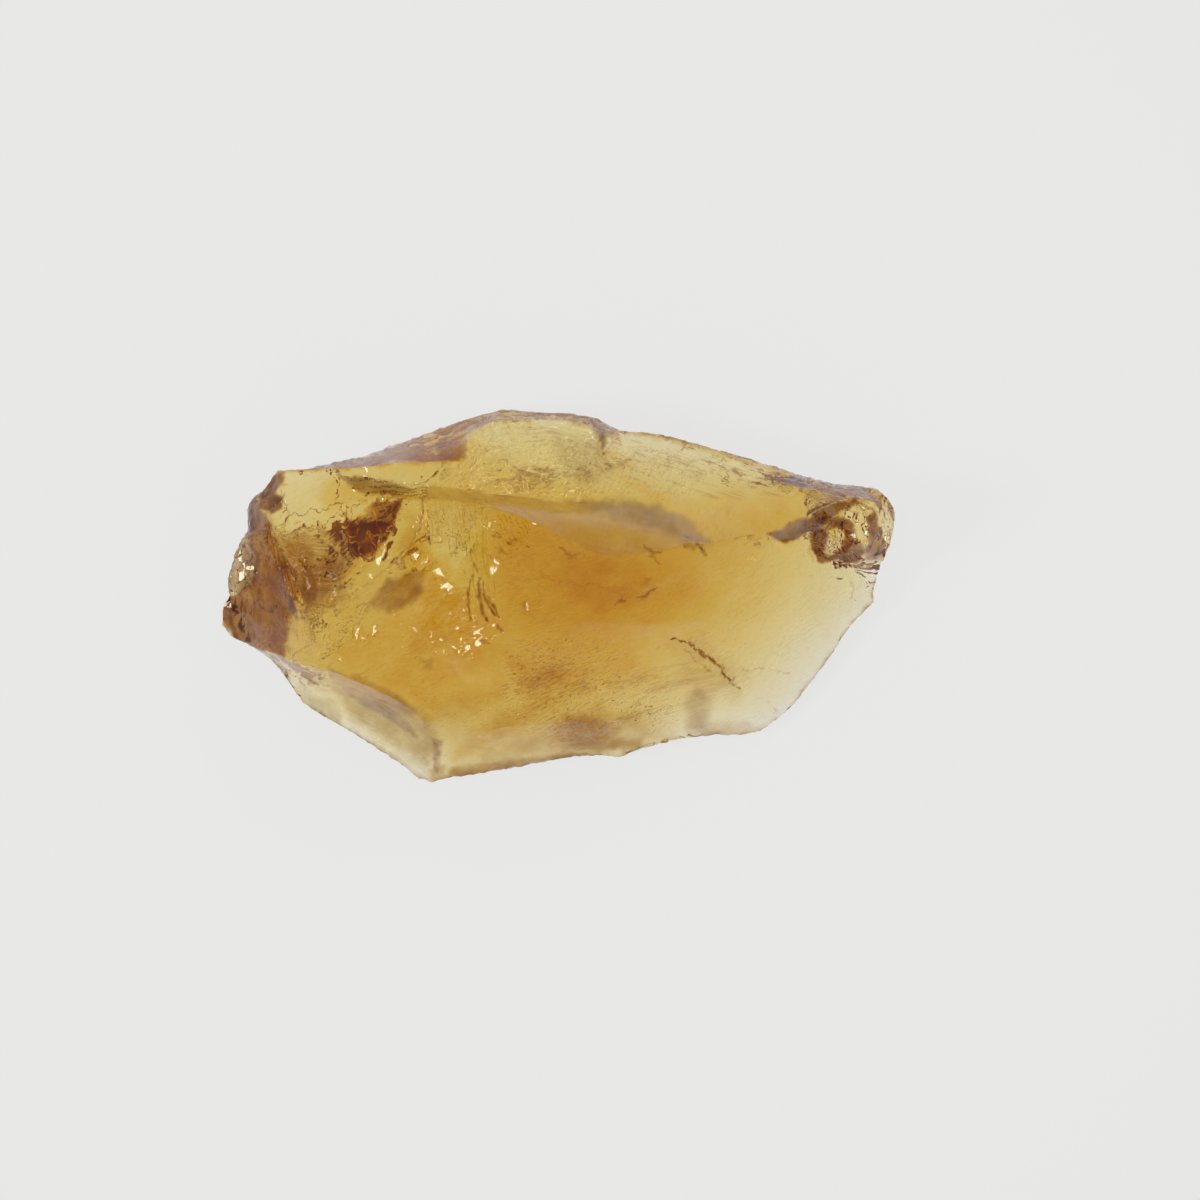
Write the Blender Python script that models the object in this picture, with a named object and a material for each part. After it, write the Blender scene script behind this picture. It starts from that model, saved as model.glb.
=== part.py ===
"""Raw citrine: one natural chip of yellow quartz, bounded by fracture faces and lying on its flat underside.

Frame: metres, +Z up, +X along the chip, the origin on the resting face under the middle of the chip's box.
The chip is drawn as a surveyor draws ground: an outline, and breaklines where two fracture faces meet.
Between the lines each side is a film stretched over them, with shallow swells added.
Points are in millimetres on the drawing, (x, y, z), and run from one end of a line to the other.
"""

import math
import random

import bmesh
import bpy
import numpy as np
from mathutils import Vector, noise
from mathutils.geometry import delaunay_2d_cdt

# Driving dimensions, in metres.
LENGTH = 0.0338
WIDTH = 0.0188
HEIGHT = 0.011

# The drawing's own sizes, in millimetres, which the driving dimensions stretch.
DRAWN_LENGTH = 33.8
DRAWN_WIDTH = 18.8
DRAWN_HEIGHT = 11.0

# Mesh sizes, in drawing millimetres.
GRAIN = 0.52  # spacing of the surface points
CLEAR_OF_LINES = 0.62  # the least distance of a free point from a line, as a share of GRAIN
JITTER = 0.16  # how far a free point strays from its place in the pattern, as a share of GRAIN
RELAX_STEPS = 3000
SEED = 7
SHARP_ANGLE = math.radians(24)

# Swells left by the fracture on the upper side, in drawing millimetres.
SWELL_HEIGHT = 0.2
SWELL_LENGTH = 2.6
SWELL_FADE = 0.7  # the swells die away within this distance of the outline

# Ribs round the points where blows landed: (x, y, first radius, last radius, spacing, height).
RIBS = [
    (-6.0, 5.6, 2.2, 6.0, 0.95, 0.07),
    (16.0, 8.5, 3.5, 9.0, 1.3, 0.06),
    (-18.5, 6.0, 2.0, 7.0, 1.1, 0.06),
    (1.0, 13.5, 4.6, 9.0, 1.5, 0.07),
    (5.5, -12.0, 4.2, 9.5, 1.6, 0.06),
]

COLOUR = (0.86, 0.58, 0.16, 1.0)
ROUGHNESS = 0.05
IOR = 1.55

# The chip's rim, clockwise seen from above, from its north-west corner: (x, y, top of the side wall, its foot).
OUTLINE = [
    (-14.0, 6.2, 6.2, 3.6), (-14.6, 5.35, 5.7, 3.8), (-15.3, 4.8, 5.2, 3.9), (-15.6, 4.25, 4.8, 4.0),
    (-15.5, 3.25, 4.9, 4.1), (-15.8, 2.7, 4.9, 4.2), (-16.2, 1.85, 4.9, 4.2), (-16.5, 0.85, 4.9, 4.2),
    (-16.4, 0.0, 4.8, 4.1), (-16.8, -0.8, 4.6, 4.0), (-16.8, -1.5, 4.3, 3.7), (-16.3, -2.1, 3.9, 3.2),
    (-15.4, -2.55, 3.3, 2.5), (-14.6, -3.05, 2.5, 1.5), (-13.7, -4.15, 1.8, 0.7), (-12.9, -5.35, 1.4, 0.4),
    (-11.8, -6.15, 1.2, 0.3), (-10.4, -6.9, 1.2, 0.25), (-9.3, -7.6, 1.2, 0.25), (-7.9, -8.5, 1.2, 0.25),
    (-7.1, -9.2, 1.2, 0.25), (-6.4, -9.4, 1.2, 0.25), (-5.4, -9.2, 1.3, 0.25), (-2.9, -8.8, 1.6, 0.25),
    (-0.4, -8.35, 1.8, 0.25), (0.9, -8.1, 1.9, 0.25), (2.1, -8.05, 1.8, 0.25), (3.1, -8.15, 1.5, 0.25),
    (4.6, -7.6, 1.4, 0.25), (6.1, -7.25, 1.3, 0.25), (7.7, -7.0, 1.1, 0.25), (9.4, -7.05, 0.9, 0.2),
    (10.2, -6.85, 0.9, 0.2), (11.2, -6.1, 0.9, 0.2), (12.0, -5.35, 0.9, 0.2), (12.9, -4.25, 0.9, 0.2),
    (13.7, -3.15, 1.0, 0.2), (14.5, -1.9, 1.1, 0.25), (15.2, -1.05, 1.2, 0.3), (15.9, -0.35, 1.3, 0.35),
    (15.9, 0.35, 1.5, 0.45), (16.1, 1.0, 1.9, 0.8), (16.3, 1.85, 3.2, 2.6), (16.7, 2.55, 4.0, 3.4),
    (16.8, 3.35, 4.4, 3.7), (16.9, 4.15, 4.5, 3.6), (16.6, 4.8, 4.2, 3.2), (15.9, 5.35, 3.8, 2.6),
    (14.9, 5.5, 3.5, 2.1), (13.9, 5.6, 3.3, 1.7), (12.5, 5.95, 3.1, 1.4), (11.1, 6.4, 3.0, 1.1),
    (9.1, 7.0, 3.0, 1.0), (7.1, 7.55, 3.1, 1.1), (5.2, 8.05, 3.1, 1.2), (4.1, 8.2, 3.1, 1.3),
    (3.1, 8.25, 3.1, 1.4), (2.6, 8.5, 3.0, 1.5), (2.0, 8.9, 2.7, 1.6), (0.6, 9.15, 2.6, 1.7),
    (-1.1, 9.2, 2.6, 1.8), (-2.7, 9.35, 2.6, 1.9), (-4.0, 9.05, 2.7, 1.9), (-5.4, 8.55, 2.8, 2.0),
    (-7.9, 7.65, 3.2, 2.2), (-9.6, 7.0, 4.4, 2.7), (-10.9, 6.7, 5.3, 3.1), (-12.5, 6.3, 6.1, 3.5),
]

# Ridges and valleys of the upper side.
TOP_LINES = {
    "crest": [
        (-11.0, 5.9, 7.0), (-9.4, 5.15, 7.7), (-7.8, 4.75, 8.5), (-6.4, 4.8, 9.2), (-3.9, 4.55, 10.0),
        (-2.3, 4.1, 10.4), (-0.6, 3.35, 10.8), (1.1, 2.35, 11.0), (3.1, 1.9, 10.9), (4.9, 2.1, 10.3),
        (6.6, 2.6, 9.6), (7.5, 2.5, 9.2), (9.4, 3.0, 8.1), (10.7, 3.1, 7.4), (11.6, 3.55, 7.1), (12.4, 3.9, 6.9),
        (13.1, 4.35, 6.8), (13.9, 4.65, 6.6), (15.1, 4.85, 6.3), (15.9, 4.6, 5.9),
    ],
    "scarp_knee": [
        (-2.9, 4.75, 9.0), (-0.6, 4.1, 9.5), (1.6, 3.6, 9.7), (4.1, 3.2, 9.3), (6.1, 3.0, 8.8),
    ],
    "scarp_foot": [
        (-11.0, 5.9, 7.0), (-7.9, 5.55, 7.1), (-5.4, 5.35, 7.3), (-2.9, 5.0, 7.4), (-0.6, 4.75, 7.3),
        (2.1, 4.6, 7.1), (4.6, 4.5, 6.8), (6.6, 3.75, 7.1), (7.5, 2.5, 9.2),
    ],
    "north_strip": [
        (-12.5, 6.3, 6.1), (-10.6, 6.3, 6.9), (-9.4, 6.4, 7.1), (-7.9, 6.6, 7.2), (-6.0, 6.65, 7.0),
        (-4.75, 6.9, 6.8), (-4.55, 7.55, 6.2), (-4.1, 8.25, 5.4), (-3.1, 8.75, 4.9), (-1.9, 8.75, 4.8),
        (0.1, 8.75, 4.6), (1.4, 8.6, 4.4), (2.1, 8.1, 4.8), (2.4, 7.7, 4.9), (2.8, 7.9, 4.4), (3.1, 8.25, 3.1),
    ],
    "north_bench": [
        (-3.9, 7.65, 5.8), (-2.4, 8.0, 5.5), (0.1, 7.7, 5.5), (1.6, 7.3, 5.3), (2.9, 6.8, 5.1),
        (4.6, 6.2, 5.1), (6.6, 5.6, 5.2), (8.6, 5.2, 5.4), (10.1, 4.9, 5.7),
    ],
    "north_east_strip": [
        (4.3, 7.4, 3.9), (7.1, 6.75, 4.0), (9.9, 6.0, 4.4), (11.6, 5.5, 5.0), (13.2, 5.1, 5.6), (14.6, 5.05, 5.7),
    ],
    "north_west_edge": [
        (-14.0, 6.2, 6.5), (-13.75, 5.5, 7.0), (-13.7, 4.9, 7.1), (-13.9, 4.2, 7.1), (-14.6, 4.0, 6.9),
    ],
    "west_edge": [
        (-15.3, 4.8, 5.2), (-14.9, 4.55, 6.3), (-14.6, 4.0, 7.0), (-14.3, 3.4, 7.4), (-13.7, 2.15, 8.1),
        (-13.0, 0.9, 8.6), (-12.7, -0.1, 8.6), (-12.4, -1.15, 8.1), (-12.1, -2.4, 7.3), (-11.9, -3.65, 6.4),
    ],
    "end_rib": [
        (-15.6, 4.25, 4.8), (-15.2, 2.5, 6.1), (-15.0, 1.2, 6.4), (-14.8, -0.2, 6.3), (-14.8, -1.4, 5.7),
        (-14.9, -2.4, 4.3),
    ],
    "south_west_edge": [
        (-15.4, -2.55, 3.3), (-14.1, -2.95, 4.9), (-12.9, -3.4, 5.9), (-11.9, -3.65, 6.4), (-11.1, -3.85, 6.5),
        (-9.1, -4.7, 6.6), (-7.6, -5.45, 6.2), (-6.6, -6.35, 5.2),
    ],
    "south_west_foot": [
        (-13.9, -3.75, 2.3), (-13.0, -4.3, 2.1), (-12.1, -4.9, 2.1), (-10.6, -5.2, 2.9), (-9.3, -5.85, 3.1),
        (-8.1, -6.85, 2.9), (-7.1, -7.6, 2.5),
    ],
    "crescent_west": [
        (-7.8, 4.75, 8.5), (-8.0, 4.0, 8.6), (-8.3, 3.2, 8.6), (-8.7, 2.4, 8.5), (-9.6, 1.1, 8.3), (-10.9, 0.0, 8.0),
    ],
    "crescent_east": [
        (-6.6, 4.8, 9.1), (-6.7, 3.5, 8.9), (-7.1, 2.6, 8.7), (-8.1, 1.5, 8.4), (-9.5, 0.2, 8.1), (-11.1, -1.1, 7.6),
    ],
    "lens_south": [
        (-7.2, 0.9, 7.0), (-6.8, 0.1, 6.7), (-8.0, -0.7, 6.8), (-9.3, -0.7, 7.3),
    ],
    "bowl_floor": [
        (-4.5, 2.1, 7.0), (-5.2, 1.1, 6.5), (-5.7, 0.1, 6.4), (-6.3, -1.2, 6.6), (-7.4, -2.3, 7.0),
    ],
    "curtain_west": [
        (-6.6, 4.8, 9.1), (-6.4, 3.6, 8.2), (-6.3, 2.5, 7.2),
    ],
    "bowl_east": [
        (-3.6, 4.5, 10.1), (-3.5, 2.8, 9.6), (-3.3, 0.8, 9.2), (-3.0, -0.7, 8.9), (-3.4, -1.7, 8.5),
        (-4.4, -2.4, 8.0), (-5.1, -3.1, 7.6),
    ],
    "south_slope": [
        (-1.5, -1.4, 9.3), (1.6, -1.2, 9.4), (4.6, -1.4, 8.6), (7.1, -1.3, 7.2), (9.1, -1.0, 5.7), (11.1, -0.6, 4.2),
        (13.1, 0.1, 3.0),
    ],
    "crack": [
        (5.9, -2.25, 6.6), (7.1, -3.0, 5.3), (8.1, -3.7, 4.3), (9.1, -4.75, 3.1),
    ],
    "south_shoulder": [
        (-6.1, -7.2, 3.6), (-4.4, -6.9, 4.8), (-1.9, -6.5, 5.6), (0.1, -6.3, 5.6), (2.1, -6.2, 5.0),
        (4.1, -6.1, 4.0), (6.6, -5.7, 3.0), (9.1, -5.5, 2.2), (11.4, -3.9, 1.9), (12.9, -2.3, 1.9),
        (14.7, -0.3, 2.1),
    ],
    "knob_foot": [
        (10.7, 3.1, 7.4), (11.3, 2.75, 5.8), (12.1, 2.85, 5.1), (12.65, 2.7, 4.6), (12.9, 2.0, 3.7), (13.9, 1.7, 3.2),
        (14.9, 1.3, 2.7), (16.1, 1.0, 1.9),
    ],
    "knob_top": [
        (14.35, 4.2, 5.6), (14.3, 3.3, 5.5), (15.1, 2.6, 5.7), (15.6, 2.9, 5.9), (15.4, 4.1, 6.1), (14.35, 4.2, 5.6),
    ],
    "knob_ridge": [
        (12.65, 2.7, 4.6), (13.4, 2.9, 5.6), (14.3, 3.3, 5.5),
    ],
}

# Ridges and valleys of the underside. The resting face is the flat patch inside its own line.
RESTING_LINE = [
    (-7.4, 2.0, 0.0), (-5.4, 2.15, 0.0), (-1.9, 2.1, 0.0), (2.1, 1.95, 0.0), (6.6, 2.0, 0.0), (9.1, 2.2, 0.0),
    (11.1, 1.8, 0.0), (12.3, 0.6, 0.0), (12.9, -0.25, 0.0), (13.2, -1.75, 0.0), (12.4, -3.55, 0.0),
    (10.6, -5.6, 0.0), (7.4, -6.35, 0.0), (4.1, -7.05, 0.0), (2.1, -7.5, 0.0), (-0.9, -7.75, 0.0),
    (-4.4, -8.35, 0.0), (-6.4, -8.65, 0.0), (-7.9, -7.7, 0.0), (-9.6, -6.6, 0.0), (-11.4, -5.55, 0.0),
    (-12.1, -4.2, 0.0), (-11.1, -3.0, 0.0), (-10.5, -1.4, 0.0), (-10.1, -0.2, 0.0), (-8.9, 0.6, 0.0),
    (-7.4, 2.0, 0.0),
]
UNDER_LINES = {
    "resting_line": RESTING_LINE,
    "terrace": [
        (-14.5, 3.3, 3.7), (-13.5, 3.25, 3.4), (-11.9, 3.3, 3.3), (-10.8, 3.6, 3.2), (-10.4, 4.3, 3.1),
        (-9.1, 4.6, 3.0), (-7.7, 4.75, 2.7),
    ],
    "terrace_foot": [
        (-7.5, 4.3, 1.0), (-8.2, 2.9, 0.3), (-9.3, 1.5, 0.3), (-10.6, 0.6, 0.5), (-11.6, 0.1, 0.9), (-12.6, 0.0, 1.5),
    ],
    "terrace_north": [
        (-13.3, 5.7, 3.4), (-11.4, 5.6, 3.2), (-9.6, 5.7, 2.9),
    ],
    "east_undercut": [
        (12.3, 4.6, 0.8), (12.6, 3.4, 0.2), (12.7, 1.9, 0.1), (13.4, 1.35, 0.15), (14.9, 1.2, 0.4),
    ],
    "east_heel": [
        (14.6, 4.5, 2.2), (14.8, 3.2, 2.4), (14.8, 2.1, 2.2), (15.6, 1.75, 2.3),
    ],
}


def scaled(point):
    """A point of the drawing, in metres."""
    x, y, z = point
    return Vector((x * LENGTH / DRAWN_LENGTH, y * WIDTH / DRAWN_WIDTH, z * HEIGHT / DRAWN_HEIGHT))


def divided(line, step):
    """The line with extra points, so that no stretch of it is longer than step in plan."""
    points = [Vector(line[0])]
    for start, end in zip(line, line[1:]):
        start, end = Vector(start), Vector(end)
        pieces = max(1, math.ceil((end - start).xy.length / step))
        points += [start.lerp(end, i / pieces) for i in range(1, pieces + 1)]
    return points


def inside(point, outline):
    """True if the point lies within the outline, seen from above."""
    crossings = 0
    for a, b in zip(outline, outline[1:] + outline[:1]):
        if (a.y > point.y) != (b.y > point.y):
            crossings += point.x < a.x + (point.y - a.y) * (b.x - a.x) / (b.y - a.y)
    return crossings % 2 == 1


def free_points(outline, fixed, chance):
    """A jittered triangular pattern of points inside the outline, clear of the fixed ones."""
    row = GRAIN * math.sqrt(3) / 2
    low = Vector((min(p.x for p in outline), min(p.y for p in outline)))
    high = Vector((max(p.x for p in outline), max(p.y for p in outline)))
    clear = GRAIN * CLEAR_OF_LINES
    cells = {}
    for p in fixed:
        cells.setdefault((int(p.x // GRAIN), int(p.y // GRAIN)), []).append(p.xy)
    found = []
    for j in range(int((high.y - low.y) / row) + 1):
        for i in range(int((high.x - low.x) / GRAIN) + 1):
            stray = Vector((chance.uniform(-1, 1), chance.uniform(-1, 1))) * JITTER * GRAIN
            p = low + Vector(((i + 0.5 * (j % 2)) * GRAIN, j * row)) + stray
            cell = (int(p.x // GRAIN), int(p.y // GRAIN))
            near = (q for a in (-1, 0, 1) for b in (-1, 0, 1) for q in cells.get((cell[0] + a, cell[1] + b), ()))
            if inside(p, outline) and all((p - q).length > clear for q in near):
                found.append(p)
    return found


def relaxed(flat, triangles, heights):
    """The heights, with each free one made the mean of its neighbours', so that each face is a smooth film."""
    pairs = {tuple(sorted(pair)) for a, b, c in triangles for pair in ((a, b), (b, c), (c, a))}
    first, second = np.array(sorted(pairs)).T
    count = np.bincount(first, minlength=len(flat)) + np.bincount(second, minlength=len(flat))
    free = np.array([z is None for z in heights])
    z = np.array([2.0 if h is None else h for h in heights])
    for _ in range(RELAX_STEPS):
        total = np.bincount(first, z[second], len(flat)) + np.bincount(second, z[first], len(flat))
        z = np.where(free, total / np.maximum(count, 1), z)
    return z


def swell(x, y):
    """The height added to the upper side at a point, by swells and ribs."""
    spot = Vector((x, y, 0.0)) / SWELL_LENGTH
    height = SWELL_HEIGHT * (noise.noise(spot) + 0.5 * noise.noise(spot * 2.3 + Vector((5.0, 1.0, 2.0))))
    for cx, cy, first, last, spacing, rise in RIBS:
        r = math.hypot(x - cx, y - cy)
        if first < r < last:
            share = (r - first) / (last - first)
            height += rise * math.sin(math.pi * share) * math.sin(2 * math.pi * (r - first) / spacing)
    return height


def side_of_chip(outline, lines, chance):
    """One side of the chip: (points, triangles, for each point its place on the outline or None)."""
    fixed = list(outline)
    edges = [(i, (i + 1) % len(outline)) for i in range(len(outline))]
    for line in lines:
        start = len(fixed)
        fixed += divided(line, GRAIN)
        edges += [(i, i + 1) for i in range(start, len(fixed) - 1)]
    flat = [p.xy for p in fixed] + free_points(outline, fixed, chance)
    found, _, triangles, origins, _, _ = delaunay_2d_cdt(flat, edges, [], 1, 1e-4)
    heights = [None] * len(found)
    places = [None] * len(found)
    for i, sources in enumerate(origins):
        known = sorted(s for s in sources if s < len(fixed))
        if known:
            heights[i] = fixed[known[0]].z
            places[i] = known[0] if known[0] < len(outline) else None
    z = relaxed(found, triangles, heights)
    return [Vector((p.x, p.y, z[i])) for i, p in enumerate(found)], triangles, places


def build():
    for obj in list(bpy.data.objects):
        bpy.data.objects.remove(obj)
    chance = random.Random(SEED)
    closed = OUTLINE + OUTLINE[:1]
    rim = divided([(x, y, top) for x, y, top, _ in closed], GRAIN)[:-1]
    foot = divided([(x, y, low) for x, y, _, low in closed], GRAIN)[:-1]
    top, top_faces, top_places = side_of_chip(rim, TOP_LINES.values(), chance)
    under, under_faces, under_places = side_of_chip(foot, UNDER_LINES.values(), chance)
    for i, p in enumerate(top):
        if top_places[i] is None:
            edge = min((p.xy - q.xy).length for q in rim)
            p.z += swell(p.x, p.y) * min(1.0, edge / SWELL_FADE)

    bm = bmesh.new()
    rim_verts = [bm.verts.new(scaled(p)) for p in rim]
    foot_verts = [bm.verts.new(scaled(p)) for p in foot]
    middle_verts = [bm.verts.new((a.co + b.co) / 2) for a, b in zip(rim_verts, foot_verts)]
    for upper, lower in ((rim_verts, middle_verts), (middle_verts, foot_verts)):
        for i in range(len(rim)):
            j = (i + 1) % len(rim)
            bm.faces.new((upper[i], upper[j], lower[j]))
            bm.faces.new((upper[i], lower[j], lower[i]))
    for points, faces, places, ring in (
        (top, top_faces, top_places, rim_verts),
        (under, under_faces, under_places, foot_verts),
    ):
        verts = [bm.verts.new(scaled(p)) if k is None else ring[k] for p, k in zip(points, places)]
        for face in faces:
            bm.faces.new([verts[i] for i in face])
    bmesh.ops.recalc_face_normals(bm, faces=bm.faces)
    mesh = bpy.data.meshes.new("citrine")
    bm.to_mesh(mesh)
    bm.free()
    obj = bpy.data.objects.new("citrine", mesh)
    bpy.context.collection.objects.link(obj)
    mesh.shade_smooth()
    mesh.set_sharp_from_angle(angle=SHARP_ANGLE)

    material = bpy.data.materials.new("citrine")
    material.use_nodes = True
    shader = material.node_tree.nodes["Principled BSDF"]
    shader.inputs["Base Color"].default_value = COLOUR
    shader.inputs["Roughness"].default_value = ROUGHNESS
    shader.inputs["IOR"].default_value = IOR
    mesh.materials.append(material)
    return obj


build()
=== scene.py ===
"""Raw citrine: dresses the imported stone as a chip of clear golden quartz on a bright, plain surface.

The stone's own solid is copied, rounded and given its fracture relief; the frame stays as it was packed.
Places in the tables are pixels of the view from above, which become the frame's own X and Y. Lengths in
the tables, and in the functions that paint the relief, are millimetres. Everything else is in metres.
"""

import math

import bmesh
import bpy
import numpy as np
from bpy.props import FloatProperty, FloatVectorProperty, IntProperty, PointerProperty
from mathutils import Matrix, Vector


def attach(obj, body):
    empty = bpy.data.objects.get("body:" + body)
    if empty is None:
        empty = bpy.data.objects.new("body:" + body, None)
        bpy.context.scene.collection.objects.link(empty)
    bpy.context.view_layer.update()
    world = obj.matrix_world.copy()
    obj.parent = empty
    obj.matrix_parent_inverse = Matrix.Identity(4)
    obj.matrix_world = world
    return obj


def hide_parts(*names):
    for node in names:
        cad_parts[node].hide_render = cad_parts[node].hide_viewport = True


bl_info = {
    "name": "Raw citrine",
    "version": (1, 0, 0),
    "blender": (4, 5, 0),
    "location": "3D View > Sidebar > Citrine",
    "description": "Makes a rough chip of golden citrine and the bright surface it lies on",
    "category": "Add Mesh",
}

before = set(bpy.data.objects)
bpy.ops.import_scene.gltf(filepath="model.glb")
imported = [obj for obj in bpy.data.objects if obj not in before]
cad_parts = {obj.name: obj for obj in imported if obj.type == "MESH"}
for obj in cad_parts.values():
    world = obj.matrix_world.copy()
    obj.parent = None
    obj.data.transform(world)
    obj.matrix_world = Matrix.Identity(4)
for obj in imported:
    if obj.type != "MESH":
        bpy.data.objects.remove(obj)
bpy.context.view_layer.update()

MM = 0.001
# A bend above SHARP stays an edge when the solid is rounded, and one above CREASED is shaded as an edge.
SHARP = math.radians(22)
CREASED = math.radians(38)
# Gold that each millimetre of height above THIN adds to the film.
DEEPER_GOLD = 0.05
THIN = 0.6
# Nothing is carved below this height, so that the stone goes on lying flat.
UNCARVED = 0.05
# How softly each kind of relief, and the finer mesh, fades at its outline.
FADE = {"mesh": 0.1, "terrace": 0.12, "hackle": 0.22, "undercut": 0.3, "pitted": 0.7}
# Relief that needs the finer mesh: hackle steeper than this (height by spacing), terraces that cover more
# than this share of their area, flake scars and undercut steps above this.
FINE_HACKLE, FINE_TERRACE, FINE_SCARS, FINE_STEP = 0.28, 0.45, 0.85, 0.45
# Painted shade along the rim, where its steep edge looks darker: its half width, and its gold, brown and
# frost-and-shade amounts.
RIM_SHADE_WIDTH, RIM_SHADE_AMOUNTS = 0.11, (0.35, 0.14, 0.55)
# First seed of each random layer. A table's rows count on from it.
SEED = {
    "rim": 5, "rim film": 7, "ragged": 11, "crack": 20, "crack width": 40, "stain": 60, "tilt": 70,
    "jag": 90, "patches": 110, "undercut": 130, "film": 150,
}
# How far each step of the stone's seed moves its noise.
SHIFT = 0.37
# The stone's settings that are inputs of the relief's nodes.
RELIEF_LENGTHS = (
    "swell_height", "swell_size", "scale_height", "scale_size", "pit_height", "pit_size", "grain_height",
    "grain_size", "chip_height",
)
# Heading of the fine grain in the skin, in degrees from +X.
GRAIN_HEADING = 28.0

# The stage: how far the surface lies below the stone, where its glow starts and ends fading, the heights in
# the room's dome where the horizon ends and the zenith starts, and the middle of the view.
FLOOR_DROP = 0.00003
GLOW_FADES = (0.032, 0.11)
ROOM_HEIGHTS = (0.05, 0.28)
VIEW_CENTRE = (0.002125, -0.00025)
SENSOR_WIDTH = 36.0
BOUNCES = 24
# Each light's place, size and power.
LIGHTS = {"window": ((-0.62, -0.10, 0.50), 0.20, 1.7), "lamp": ((0.20, 0.60, 0.50), 0.10, 0.5)}

# Outlines and paths are text, "x,y x,y ...", in pixels of the 1200 x 1200 view: x to the right, y down.
PIXELS_PER_MM = 20
# The pixel at which the frame's own origin lies.
ORIGIN_X, ORIGIN_Y = 557.5, 595


def placed(text):
    """The points that a text of pixels gives, in the frame's millimetres to the nearest hundredth."""
    points = []
    for pair in text.split():
        x, y = (int(number) for number in pair.split(","))
        points.append((round((x - ORIGIN_X) / PIXELS_PER_MM, 2), round((ORIGIN_Y - y) / PIXELS_PER_MM, 2)))
    return points


def rows(*lines):
    """A table's rows, with each text of pixels turned into its points."""
    return [tuple(placed(cell) if "," in str(cell) else cell for cell in line) for line in lines]


# Hackle, the fine parallel steps of a break: outline, path that the steps run beside, spacing, height,
# sharpness (0 for soft ripples, 1 for saw teeth) and haze.
STREAKS = rows(
    ("west end", "248,507 262,503 271,527 284,552 297,577 304,597 309,618 316,643 300,660 252,646 "
     "240,612 246,590 258,578 254,535 246,522", "258,496 266,540 274,590 282,660", 0.3, 0.04, 0.55, 0.05),
    ("west shoulder", "275,528 300,530 350,530 356,560 345,585 340,610 312,615 300,580 285,555",
     "270,520 300,545 330,548 360,520", 0.3, 0.1, 0.6, 0.0),
    ("long scarp", "338,477 400,484 450,488 500,495 545,500 600,503 650,505 690,522 708,545 690,543 "
     "655,553 620,557 580,548 545,528 512,513 480,504 430,499 402,500", "330,476 430,490 520,505 600,528 "
     "660,542 720,548", 0.24, 0.02, 0.35, 0.35),
    ("north-west strip", "300,468 340,458 400,440 450,422 480,412 535,409 598,415 612,428 602,440 "
     "590,425 540,422 490,424 462,440 464,462 440,466 400,466 340,474", "290,472 365,454 450,423 503,408 "
     "570,411 612,428", 0.26, 0.045, 0.45, 0.2),
    ("north bench", "462,440 490,424 600,425 604,446 560,450 500,452 470,460", "455,452 490,432 550,428 "
     "604,440", 0.42, 0.06, 0.4, 0.05),
    ("north-east slope", "604,424 640,432 700,445 780,468 835,484 810,494 770,500 720,498 680,492 "
     "640,484 606,466", "600,434 660,452 730,476 830,506", 0.36, 0.07, 0.65, 0.05),
    ("east point", "778,474 835,484 856,485 880,490 895,508 884,508 850,503 820,502 790,488", "770,470 "
     "835,488 880,502 900,520", 0.26, 0.09, 0.8, 0.0),
    ("south-west scarp", "250,646 275,652 300,661 335,670 375,687 405,702 427,722 420,742 380,714 "
     "345,697 300,682 285,680 262,657", "250,648 300,668 335,678 375,696 405,712 430,735", 0.22, 0.06,
     0.6, 0.2),
    ("south-west edge", "298,688 345,699 380,716 418,744 434,772 420,779 350,735 308,708", "296,692 "
     "350,712 400,742 430,775", 0.3, 0.035, 0.3, 0.0),
    ("curtain", "422,501 470,503 492,514 492,560 502,620 484,624 464,620 458,560 440,546 420,544",
     "452,495 458,560 470,630", 0.24, 0.068, 0.85, 0.0),
    ("south waves", "430,760 500,740 640,650 700,640 740,690 640,745 560,757 450,776", "430,790 520,740 "
     "600,690 700,670", 1.1, 0.05, 0.1, 0.0),
    ("east ripples", "700,560 780,560 840,590 830,640 770,650 700,640", "700,660 760,615 840,560", 0.42,
     0.008, 0.3, 0.0),
    ("south-east ripples", "690,688 760,690 770,715 700,720", "690,700 770,696", 0.3, 0.012, 0.4, 0.0),
    ("crescent teeth", "388,498 408,498 404,530 388,560 376,560 386,530", "408,498 392,560", 0.5, 0.0,
     0.3, 0.0),
)

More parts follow.
